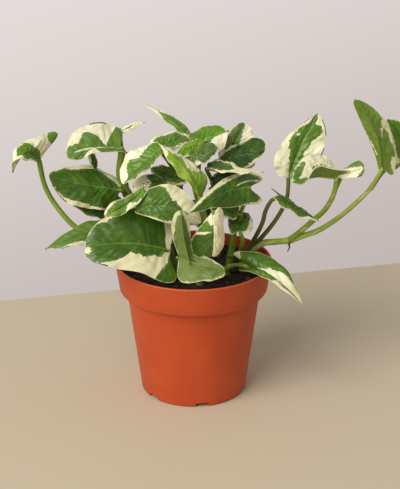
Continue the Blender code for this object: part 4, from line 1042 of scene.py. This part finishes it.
        [(0, 0, 0.04), (0.2, 0, 0.06), (0.3, 0, 0.08), (0.4, 0, 0.14), (0.5, 0, 0.28), (0.6, 0, 0.45),
         (0.7, 0, 0.6), (0.8, 0, 0.8), (0.9, 0, 0.9), (1, 0, 1.1)],
        [(0.5, 1.05), (0.6, 0.85), (0.64, 0.3), (0.68, 0.25), (0.72, 0.5), (0.8, 0.55), (0.9, 0.6),
         (1, 0.6)], cream=[(0.13, -0.9, 4)], shade=[(0.5, 0.5, 9, 0.25)]),
    "vine_cream": paint(0.35, 0.1,
        [(0, 0.1), (0.1, 0.12), (0.2, 0.2), (0.3, 0.25), (0.4, 0.3), (0.5, 0.35), (0.6, 0.53), (0.7, 0.74),
         (0.8, 0.79), (0.86, 0.72), (0.9, 0.3), (0.94, 0.5), (1, 1)],
        [(0, 0.9), (0.2, 0.6), (0.3, 0.4), (0.4, 0.33), (0.5, 0.24), (0.6, 0.33), (0.65, 0.42), (0.7, 0.56),
         (0.75, 0.73), (0.8, 0.83), (0.85, 0.72), (0.88, 0.28), (0.92, 0.4), (0.96, 0.35), (1, 0.4)],
        cream=[(0.77, -0.47, 1.1), (0.66, -0.72, 1.4)],
        edge=[(1, 0.72, 0.93), (1, 0.45, 0.55), (0, 0.9, 0.97)]),
    "vine_narrow": paint(0.15, 0.1, [(0.7, 1.1), (0.85, 0.5), (1, 0)], [(0.7, 1.1), (0.85, 0.5), (1, 0)]),
    "vine_flat": paint(0.3, 0.25, [(0, 0.8), (0.15, 0.85), (0.55, 0.85), (0.65, 1.1), (1, 1.1)],
        [(0, 0.5), (0.2, 0.5), (0.3, 0.45), (0.5, 0.42), (0.6, 0.4), (0.64, 0.05), (0.7, 0)],
        green=[(0.92, 0.35, 2.4), (0.86, 0.5, 2.6), (0.8, 0.62, 2.4), (0.74, 0.7, 2.0)]),
    "vine_curl": paint(0.45, 0.1, [(0, 0, 0.9), (0.3, 0, 0.45), (0.6, 0, 0.35), (0.9, 0, 0.3), (1, 0, 0.2)],
        [(0, 0), (0.5, 0), (0.7, 0, 0.8), (0.85, 0, 0.55), (1, 0, 0.3)],
        edge=[(0, 0.55, 1.1), (1, 0.6, 1.1)]),
    "vine_tall": paint(0.5, 0.0,
        [(0.14, 1.1), (0.18, 0.72), (0.25, 0.66), (0.3, 0.76), (0.36, 1.05), (0.46, 1.05), (0.5, 0.84),
         (0.58, 0.86), (0.61, 0.62), (0.65, 0.58), (0.7, 0.69), (0.75, 0.83), (0.82, 1.05)],
        stripes=[(0, [(0.48, 0.28, 0.34), (0.55, 0.33, 0.42), (0.62, 0.42, 0.6)]),
         (1, [(0.22, 0.5, 0.65), (0.3, 0.6, 0.78), (0.4, 0.7, 0.86), (0.5, 0.84, 0.97),
              (0.62, 0.92, 1.05)])],
        shade=[(0.5, -0.6, 6, -0.25), (0.9, 0.3, 7, -0.15)]),
    "vine_end": paint(0.5, 0.1, [(0, 0.5), (0.5, 0.6), (0.75, 0.7), (0.9, 1.0)], [(0, 0.95), (1, 0.9)]),
}
print("marked leaves:", len(PAINT))

# %% [markdown]
# The marks are worked out for every point of a leaf, as numbers that the mesh carries and the
# finish reads. cream is how many millimetres a point lies inside the cream, or below zero how far
# outside. A distance can be made ragged by a noise later, which a plain yes or no can't.

# %% Marks as numbers on each point
MARKS = ("cream", "rim", "tone", "grey", "brown", "vein", "seed")


def band_at(bands, s):
    """Where the cream starts and ends across a half at s, blended between the given rows."""
    rows = [(*row, 9)[:3] for row in bands]
    if s <= rows[0][0]:
        return rows[0][1:]
    for low, high in zip(rows, rows[1:]):
        if s <= high[0]:
            t = (s - low[0]) / (high[0] - low[0])
            return tuple(a + (b - a) * t for a, b in zip(low[1:], high[1:]))
    return rows[-1][1:]


def spots(shape, places):
    """Each spot's place in space, with its radius in metres and what else it says."""
    return [(blade_point(shape, leaf_row(shape, s), v)[0], radius * MM, more)
            for s, v, radius, *more in places]


def mark_point(shape, point, row, v, marks, seed):
    """The seven marks of one point of a leaf."""
    half = 1 if v > 0 else 0
    width = row["sides"][half].length * row["halves"][half][1]
    start, end = band_at(marks["halves"][half], row["s"])
    cream = min(abs(v) - start, end - abs(v)) * width
    for side, rows in marks["stripes"]:
        if side == half and rows[0][0] <= row["s"] <= rows[-1][0]:
            start, end = band_at(rows, row["s"])
            cream = max(cream, min(abs(v) - start, end - abs(v)) * width)
    for place, radius, _ in marks["cream"]:
        cream = max(cream, radius - (point - place).length)
    for place, radius, _ in marks["green"]:
        cream = min(cream, (point - place).length - radius)
    # Painted shade and painted light in part: the leaf's tone, raised or lowered near each shade spot.
    tone = marks["tone"]
    for place, radius, (change,) in marks["shade"]:
        tone += change * max(0, 1 - (point - place).length / radius)
    brown = max([0] + [1.3 - (point - place).length / radius for place, radius, _ in marks["brown"]])
    rim = (1 - abs(v)) * width / MM
    for side, first, last in marks["edge"]:
        if side == half and first < row["s"] < last:
            brown = max(brown, 1.4 - rim / 0.55)
    return cream / MM, rim, tone, marks["grey"], brown, vein_place(shape, row["s"], v), seed


print("marks:", ", ".join(MARKS))

# %% [markdown]
# Each leaf starts as one flat grid. Its points are laid where the formula says, closer together
# near the base and the tip, where the outline turns fast, and near the midrib. The base and the tip
# are single points, so their rows are merged. Solidify then gives the blade its real thickness of
# under half a millimetre, and a second finish for its underside.

# %% Leaf blades
BLADE_ROWS = 64
BLADE_COLUMNS = 32
BLADE_THICKNESS = 0.45 * MM


def eased(t):
    """The s of a row, with the rows closer together towards both ends."""
    return 0.5 * t + 0.5 * (0.5 - 0.5 * math.cos(math.pi * t))


def set_marks(mesh, marks):
    """Stores the marks on a mesh's points."""
    for index, name in enumerate(MARKS):
        layer = mesh.attributes.new(name, "FLOAT", "POINT")
        layer.data.foreach_set("value", [values[index] for values in marks])


def set_chart(mesh, places):
    """A UV map of (s, v) at every corner of the mesh."""
    chart = mesh.uv_layers[0] if mesh.uv_layers else mesh.uv_layers.new(name="UVMap")
    corners = [0.0] * (2 * len(mesh.loops))
    for index, loop in enumerate(mesh.loops):
        s, v = places[loop.vertex_index]
        corners[2 * index:2 * index + 2] = (s, (v + 1) / 2)
    chart.data.foreach_set("uv", corners)


def thicken(blade, finishes):
    """Gives a flat blade its thickness, the first finish on top and the second underneath."""
    for finish in finishes:
        blade.data.materials.append(finish.material)
    thickness = blade.modifiers.new("thickness", "SOLIDIFY")
    thickness.thickness = BLADE_THICKNESS
    thickness.offset = 0
    thickness.material_offset = 1
    thickness.material_offset_rim = 0
    bpy.ops.object.modifier_apply(modifier=thickness.name)


def leaf_blade(name, shape, marks, finishes):
    """One finished leaf blade."""
    # The grid's x runs along the leaf and its y runs across it.
    bpy.ops.object.select_all(action="DESELECT")
    bpy.ops.mesh.primitive_grid_add(x_subdivisions=BLADE_ROWS, y_subdivisions=BLADE_COLUMNS, size=2)
    blade = bpy.context.active_object
    blade.name = name
    ready = {**marks, **{key: spots(shape, marks[key]) for key in ("cream", "green", "brown", "shade")}}
    seed = random.Random(name + " marks").random() * 50
    rows, places, values = {}, [], []
    for vertex in blade.data.vertices:
        key = round(vertex.co.x, 5)
        if key not in rows:
            rows[key] = leaf_row(shape, eased((vertex.co.x + 1) / 2))
        v = -math.copysign(abs(vertex.co.y) ** 1.2, vertex.co.y)
        vertex.co = blade_point(shape, rows[key], v)[0]
        places.append((rows[key]["s"], v))
        values.append(mark_point(shape, vertex.co, rows[key], v, ready, seed))
    set_chart(blade.data, places)
    set_marks(blade.data, values)
    bpy.ops.object.mode_set(mode="EDIT")
    bpy.ops.mesh.select_all(action="SELECT")
    bpy.ops.mesh.remove_doubles(threshold=0.008 * MM)
    bpy.ops.object.mode_set(mode="OBJECT")
    thicken(blade, finishes)
    return blade


# %% [markdown]
# The waxy upper side is green where the leaf makes its colour and cream where it can't. The edge
# between the two is ragged along the side veins, with a grey-green veil on the green side and small
# flecks on both. The green is mottled, with streaks along the side veins that are partly painted
# light and shade of the swelling blade, and a little paler on the veins, and the margin is a thin
# pale line. The underside carries the same marks, but paler, greyer and dull.

# %% Leaf finishes
LEAF_SHADOW_GREEN = (0.010, 0.030, 0.001)
LEAF_DARK = (0.030, 0.088, 0.001)
LEAF_MID = (0.098, 0.225, 0.005)
LEAF_BRIGHT = (0.235, 0.415, 0.014)
LEAF_FRESH = (0.430, 0.590, 0.110)
LEAF_GREY = (0.165, 0.250, 0.075)
LEAF_CREAM = (0.740, 0.710, 0.470)
LEAF_CREAM_PALE = (0.870, 0.855, 0.650)
LEAF_CREAM_DEEP = (0.680, 0.665, 0.350)
LEAF_BROWN = (0.110, 0.050, 0.020)
LEAF_UNDER = (0.230, 0.310, 0.070)
MIDRIB_PALE = (0.270, 0.390, 0.150)


def leaf_lines(finish):
    """The chart of a leaf: its place along the slanting veins and its reach from the midrib, 0 to 1."""
    across = finish.axis(finish.chart, 1)
    reach = finish.sums("ABSOLUTE", finish.times(finish.minus(across, 0.5), 2))
    slanted = finish.minus(finish.axis(finish.chart, 0), finish.times(reach, VEIN_SLANT))
    return slanted, reach


def vein_cloud(finish, lines, along, across, detail):
    """A noise that is drawn out along the side veins, with so many clouds along and across."""
    slanted, reach = lines
    parts = {0: finish.times(slanted, along), 1: finish.times(reach, across), 2: finish.attribute("seed")}
    return finish.noise(1, detail, finish.add("ShaderNodeCombineXYZ", parts))


def leaf_green(finish, veins, lines):
    """The mottled green, with soft streaks along the side veins that are partly painted light and shade,
    before any cream.
    """
    # The streaks along the side veins stand partly for painted light and shade of the swelling blade.
    level = finish.plus(finish.attribute("tone"), finish.around(finish.noise(170, 3), 0.5),
                        finish.around(vein_cloud(finish, lines, 24, 2.5, 2), 0.55),
                        finish.around(finish.noise(900, 3), 0.3), finish.times(veins, 0.06))
    # Below 0 the green goes darkest: mostly painted shade on leaves that lie in shadow.
    green = finish.blend(finish.ramp(level, -0.6, 0.05), LEAF_SHADOW_GREEN, LEAF_DARK)
    green = finish.blend(finish.ramp(level, 0, 0.55), green, LEAF_MID)
    green = finish.blend(finish.ramp(level, 0.5, 1.05), green, LEAF_BRIGHT)
    green = finish.blend(finish.ramp(level, 1.0, 1.6), green, LEAF_FRESH)
    # The grey-green blended in here is the leaf's own grey and, on some leaves, a painted sheen.
    return finish.blend(finish.attribute("grey"), green, LEAF_GREY, 0.85)


def cream_edge(finish, lines):
    """Millimetres inside the cream, made ragged along the side veins."""
    teeth = finish.around(vein_cloud(finish, lines, 46, 5, 3), 3.4)
    ragged = finish.around(finish.noise(620, 4), 1.5)
    return finish.plus(finish.attribute("cream"), finish.plus(teeth, ragged))


def veiled(finish, green, edge):
    """The green with a grey-green veil along the cream, and small pale flecks."""
    veil = finish.times(finish.ramp(edge, -2.6, -0.4), finish.ramp(finish.noise(330, 3), 0.40, 0.62))
    green = finish.blend(veil, green, LEAF_GREY, 0.55)
    flecks = finish.ramp(finish.noise(1250, 2), 0.72, 0.80)
    return finish.blend(flecks, green, LEAF_CREAM_DEEP, 0.22)


def leaf_cream(finish):
    """The cream, paler on bright leaves and deeper on dark ones as part of their painted light and shade,
    and deeper again in soft clouds.
    """
    cream = finish.blend(finish.ramp(finish.attribute("tone"), 0.1, 0.5), LEAF_CREAM, LEAF_CREAM_PALE)
    return finish.blend(finish.ramp(finish.noise(210, 3), 0.35, 0.85), cream, LEAF_CREAM_DEEP)


def pale_lines(finish, colour, reach):
    """The pale line along the midrib and the thin pale margin."""
    colour = finish.blend(finish.drop(reach, 0.008, 0.034), colour, MIDRIB_PALE, 0.32)
    rim = finish.plus(finish.attribute("rim"), finish.around(finish.noise(450, 2), 0.7))
    return finish.blend(finish.drop(rim, 0.12, 0.42), colour, LEAF_CREAM_DEEP, 0.8)


def leaf_finish(name, under):
    """The finish of one side of the leaves."""
    finish = Finish(name)
    lines = leaf_lines(finish)
    veins = finish.drop(finish.sums("PINGPONG", finish.attribute("vein"), 0.5), 0.0, 0.09)
    edge = cream_edge(finish, lines)
    green = veiled(finish, leaf_green(finish, veins, lines), edge)
    colour = finish.blend(finish.ramp(edge, -0.10, 0.22), green, leaf_cream(finish))
    colour = pale_lines(finish, colour, lines[1])
    if under:
        colour = finish.blend(0.36, colour, LEAF_UNDER)
    brown = finish.plus(finish.attribute("brown"), finish.around(finish.noise(700, 2), 0.7))
    colour = finish.blend(finish.ramp(brown, 0.35, 0.75), colour, LEAF_BROWN)
    finish.paint("Base Color", colour)
    finish.paint("Specular IOR Level", 0.42)
    dullness = 0.56 if under else 0.34
    finish.paint("Roughness", finish.plus(finish.around(finish.noise(380, 3), 0.18), dullness))
    height = finish.plus(finish.noise(1300, 3), finish.times(finish.cells(1100), -0.6))
    finish.relief(height, 0.35 if under else 0.22, 0.12 * MM)
    return finish


leaf_top = leaf_finish("pothos_leaf_top", under=False)
leaf_under = leaf_finish("pothos_leaf_underside", under=True)
print("leaf finishes:", leaf_top.material.name, "and", leaf_under.material.name)

# %% [markdown]
# All blades of a cutting are then joined into one piece, which stands for that cutting's packed
# solid. They keep their marks and their UV map when they are joined.

# %% Grow the leaves
SHAPES = {}


def join_as(name, items):
    """Joins objects into one and names it."""
    choose(*items)
    bpy.ops.object.join()
    items[0].name = name
    items[0].data.name = name
    return items[0]


for cutting, spec in CUTTINGS.items():
    blades = []
    for name, places in spec["leaves"].items():
        SHAPES[name] = blade_shape(places, name)
        blades.append(leaf_blade(name, SHAPES[name], PAINT[name], (leaf_top, leaf_under)))
    leaves = join_as(cutting + "_leaves", blades)
    bpy.ops.object.shade_smooth_by_angle(angle=math.radians(60))
    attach(leaves, "root")
    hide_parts(cutting)
    print(leaves.name, "has", len(leaves.data.polygons), "faces")

# %% [markdown]
# Stems and leaf stalks are round and juicy. Each is a curve with a round section, as thick at each
# of its points as the real one: a stem swells where a stalk leaves it, and a stalk is wider at its
# foot and again just under its blade. The curve is converted to a mesh, so that it can be joined.
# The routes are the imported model's, with more steps between the same places.

# %% Round stems and stalks
STEM_RADIUS = 2.6 * MM
STEM_TAPER = 0.75
STALK_RADIUS = 1.6 * MM
STALK_TAPER = 0.75
STALK_SINK = 0.8 * MM
ROOT_RADIUS = 0.7 * MM
FINE_STEPS = 6
PACKED_STEPS = 2
NODE_SWELL = 0.16
NODE_LENGTH = 2.2 * MM
FOOT_LIFTS = (-12.5, -6, 0, 3.5)
STALK_FOOT_SWELL = 0.22
STALK_JOINT_SWELL = 0.10
STALK_POINT = 0.68
PLAIN_TONE = 0.5
RIDGE_POINTS = 22


def smooth_route(points, steps):
    """Points along a smooth curve through the given points."""
    padded = [points[0] * 2 - points[1], *points, points[-1] * 2 - points[-2]]
    route = []
    for before, start, end, after in zip(padded, padded[1:], padded[2:], padded[3:]):
        for step in range(steps):
            t = step / steps
            route.append(0.5 * (2 * start + (end - before) * t
                                + (2 * before - 5 * start + 4 * end - after) * t ** 2
                                + (3 * start - before - 3 * end + after) * t ** 3))
    route.append(points[-1])
    return route


def round_stem(name, points, radii, finish, tone=PLAIN_TONE):
    """A stem of varying thickness along the points, closed at both ends."""
    curve = bpy.data.curves.new(name, "CURVE")
    curve.dimensions = "3D"
    curve.bevel_depth = 1
    curve.bevel_resolution = 4
    curve.use_fill_caps = True
    line = curve.splines.new("POLY")
    line.points.add(len(points) - 1)
    for knot, point, radius in zip(line.points, points, radii):
        knot.co = (*point, 1)
        knot.radius = radius
    stem = bpy.data.objects.new(name, curve)
    bpy.context.scene.collection.objects.link(stem)
    choose(stem)
    bpy.ops.object.convert(target="MESH")
    stem = bpy.context.active_object
    bpy.ops.object.mode_set(mode="EDIT")
    bpy.ops.mesh.select_all(action="SELECT")
    bpy.ops.mesh.remove_doubles(threshold=0.01 * MM)
    face_outward()
    stem.data.materials.clear()
    stem.data.materials.append(finish.material)
    layer = stem.data.attributes.new("tone", "FLOAT", "POINT")
    layer.data.foreach_set("value", [tone] * len(stem.data.vertices))
    return stem


def stem_route(spec):
    """The stem: straight up out of the soil, then through its places."""
    x, y = (value * MM for value in spec["foot"])
    upright = [Vector((x, y, SOIL_TOP + lift * MM)) for lift in FOOT_LIFTS]
    return upright[:-1] + smooth_route([upright[-1]] + [seen(place) for place in spec["stem"]], FINE_STEPS)


def stalk_place(stem, start):
    """Where on its stem a stalk starts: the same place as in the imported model."""
    finer = FINE_STEPS // PACKED_STEPS
    return 3 + finer * round((len(stem) - 4) / finer * start)


def stalk_route(places, shape, foot):
    """A leaf stalk: from the stem to the underside of its blade, a little way in."""
    base, slope = midrib(shape["midrib"], 0)
    left, right = (sides[0] for sides in shape["sides"])
    normal = (right - left).cross(slope).normalized()
    ends = [base - normal * STALK_SINK, base + slope * 2.5 * MM - normal * STALK_SINK]
    return smooth_route([foot] + [seen(place) for place in places["stalk"]] + ends, FINE_STEPS)


def stem_radii(stem, feet, taper):
    """The stem's thickness, which swells where each stalk leaves it."""
    radii = []
    for step, point in enumerate(stem):
        swell = max(math.exp(-((point - stem[foot]).length / NODE_LENGTH) ** 2) for foot in feet)
        plain = STEM_RADIUS * (1 - (1 - taper) * step / (len(stem) - 1))
        radii.append(plain * (1 + NODE_SWELL * swell))
    return radii


def stalk_radii(route, thick):
    """The stalk's thickness: a wider foot, a slow taper and a small joint under the blade."""
    ends = len(route) - 1
    radii = []
    for step in range(ends + 1):
        t = step / ends
        foot = STALK_FOOT_SWELL * math.exp(-(t / 0.07) ** 2)
        joint = STALK_JOINT_SWELL * math.exp(-((t - 0.80) / 0.06) ** 2)
        radii.append(thick * (1 - (1 - STALK_TAPER) * t) * (1 + foot + joint))
    for step in range(1, FINE_STEPS + 1):
        radii[ends - FINE_STEPS + step] *= 1 - STALK_POINT * step / FINE_STEPS
    return radii


def midrib_ridge(name, shape, thick, finish):
    """The midrib standing out on a blade's underside, thinner towards the tip."""
    points, radii = [], []
    last = RIDGE_POINTS - 1
    for step in range(RIDGE_POINTS):
        s = 0.02 + 0.86 * step / last
        point, normal = blade_point(shape, leaf_row(shape, s), 0)
        radius = thick * (0.46 * (1 - step / last) ** 1.2 + 0.07)
        points.append(point - normal * (BLADE_THICKNESS / 2 + radius * 0.2))
        radii.append(radius)
    return round_stem(name, points, radii, finish)


print("stem", round(2 * STEM_RADIUS / MM, 1), "mm, stalks", round(2 * STALK_RADIUS / MM, 1), "mm thick")

# %% [markdown]
# Stalks are a fresh yellow-green with darker flecks, and long pale streaks here and there: partly
# cream where the cream of the leaf runs down, partly a painted highlight. Older stems are darker and
# duller, with brown scars at their nodes. The short aerial root on the bare vine is brown and corky.

# %% Stalk and root finishes
STALK_OLIVE = (0.105, 0.115, 0.028)
STALK_GREEN = (0.150, 0.235, 0.020)
STALK_PALE = (0.330, 0.440, 0.060)
STALK_CREAM_AND_HIGHLIGHT = (0.620, 0.620, 0.250)
STALK_TONES = {"vine_cream": 0.12, "vine_narrow": 0.05, "vine_flat": 0.55, "vine_tall": 0.95,
               "young": 1.0, "right_low": 0.8, "left_far": 0.45, "cutting_vine": 0.8,
               "cutting_back": 0.95, "cutting_upper_left": 0.4}
ROOT_BROWN = (0.055, 0.027, 0.016)
ROOT_PALE = (0.150, 0.085, 0.050)


def stem_finish(name, lean, cream_and_highlight_strength):
    """Green stem skin, with pale streaks, partly cream and partly painted highlight, that run upright or
    lean over by an angle.
    """
    finish = Finish(name, 0.42)
    finish.paint("Specular IOR Level", 0.35)
    turned = finish.add("ShaderNodeMapping", {0: finish.place, 2: (0, lean, 0)})
    drawn = finish.add("ShaderNodeMapping", {0: turned, 3: (1.0, 1.0, 0.10)})
    level = finish.plus(finish.attribute("tone"), finish.around(finish.noise(75, 4), 0.7))
    colour = finish.blend(finish.ramp(level, 0.0, 0.5), STALK_OLIVE, STALK_GREEN)
    colour = finish.blend(finish.ramp(level, 0.4, 1.0), colour, STALK_PALE)
    # Painted highlight in part: long pale streaks drawn out along the stem.
    cream_and_highlight_streaks = finish.ramp(finish.noise(380, 2, drawn), 0.52, 0.66)
    cream_and_highlight_streaks = finish.times(cream_and_highlight_streaks, finish.ramp(finish.attribute("tone"), 0.2, 0.8))
    finish.paint("Base Color", finish.blend(cream_and_highlight_streaks, colour, STALK_CREAM_AND_HIGHLIGHT, cream_and_highlight_strength))
    finish.relief(finish.noise(700, 2, drawn), 0.15, 0.08 * MM)
    return finish


stalk_finish = stem_finish("pothos_stalk", 0, 0.25)
vine_finish = stem_finish("pothos_vine", math.radians(-52), 0.6)

root_finish = Finish("aerial_root", 0.85)
root_tone = root_finish.ramp(root_finish.noise(1500, 4), 0.4, 0.7)
root_finish.paint("Base Color", root_finish.blend(root_tone, ROOT_BROWN, ROOT_PALE))
root_finish.relief(root_finish.noise(2200, 4), 0.6, 0.2 * MM)
print("stalk finishes:", stalk_finish.material.name, "and", root_finish.material.name)

# %% [markdown]
# Each node of a stem, except one at its very end, has a thin corky ring, the scar of an old leaf.
# It is a very short stem of its own, a hair thicker than the stem that it goes round.

# %% Grow the stems
SCAR_LENGTH = 0.5 * MM


def node_scar(name, stem, radii, foot):
    """A corky ring round a stem at the foot of a stalk."""
    foot = min(max(foot, 1), len(stem) - 2)
    along = (stem[foot + 1] - stem[foot - 1]).normalized()
    points = [stem[foot] + along * SCAR_LENGTH * shift for shift in (-1.6, -0.8, 0, 0.8, 1.6)]
    ring = [radii[foot] * size for size in (0.95, 1.035, 1.06, 1.035, 0.95)]
    return round_stem(name, points, ring, root_finish)


def grow_roots(cutting, roots):
    """Short aerial roots, which taper to a point."""
    grown = []
    for index, places in enumerate(roots):
        route = smooth_route([seen(place) for place in places], FINE_STEPS)
        radii = [ROOT_RADIUS * (1.15 - 0.75 * step / (len(route) - 1)) for step in range(len(route))]
        grown.append(round_stem(f"{cutting}_root_{index}", route, radii, root_finish))
    return grown


def grow_stems(cutting, spec):
    """A cutting's stem, its stalks and the ridges under its leaves, joined as one piece."""
    stem = stem_route(spec)
    feet = [stalk_place(stem, places["start"]) for places in spec["leaves"].values()]
    radii = stem_radii(stem, feet, spec.get("taper", STEM_TAPER))
    skin = vine_finish if cutting == "cutting_vine" else stalk_finish
    parts = [round_stem(cutting + "_stem", stem, radii, skin, STALK_TONES.get(cutting, PLAIN_TONE))]
    for foot in sorted(foot for foot in set(feet) if foot < len(stem) - 3):
        parts.append(node_scar(f"{cutting}_scar_{foot}", stem, radii, foot))
    for foot, (name, places) in zip(feet, spec["leaves"].items()):
        route = stalk_route(places, SHAPES[name], stem[foot])
        thick = STALK_RADIUS * places["thin"]
        tone = STALK_TONES.get(name, PLAIN_TONE)
        parts.append(round_stem(name + "_stalk", route, stalk_radii(route, thick), skin, tone))
        parts.append(midrib_ridge(name + "_ridge", SHAPES[name], thick, stalk_finish))
    return join_as(cutting + "_stems", parts + grow_roots(cutting, spec.get("roots", ())))


for cutting, spec in CUTTINGS.items():
    stems = grow_stems(cutting, spec)
    bpy.ops.object.shade_smooth_by_angle(angle=math.radians(50))
    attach(stems, "root")
    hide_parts(cutting)
    print(stems.name, "has", len(stems.data.polygons), "faces")

# %% [markdown]
# Last, the size of the dressed plant is printed beside the imported model's, so that the two can be
# compared.

# %% Sizes
dressed_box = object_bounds()
for label, (low, high) in (("packed", cad_box), ("dressed", dressed_box)):
    print(label, "size in mm:", [round((b - a) / MM, 1) for a, b in zip(low, high)])
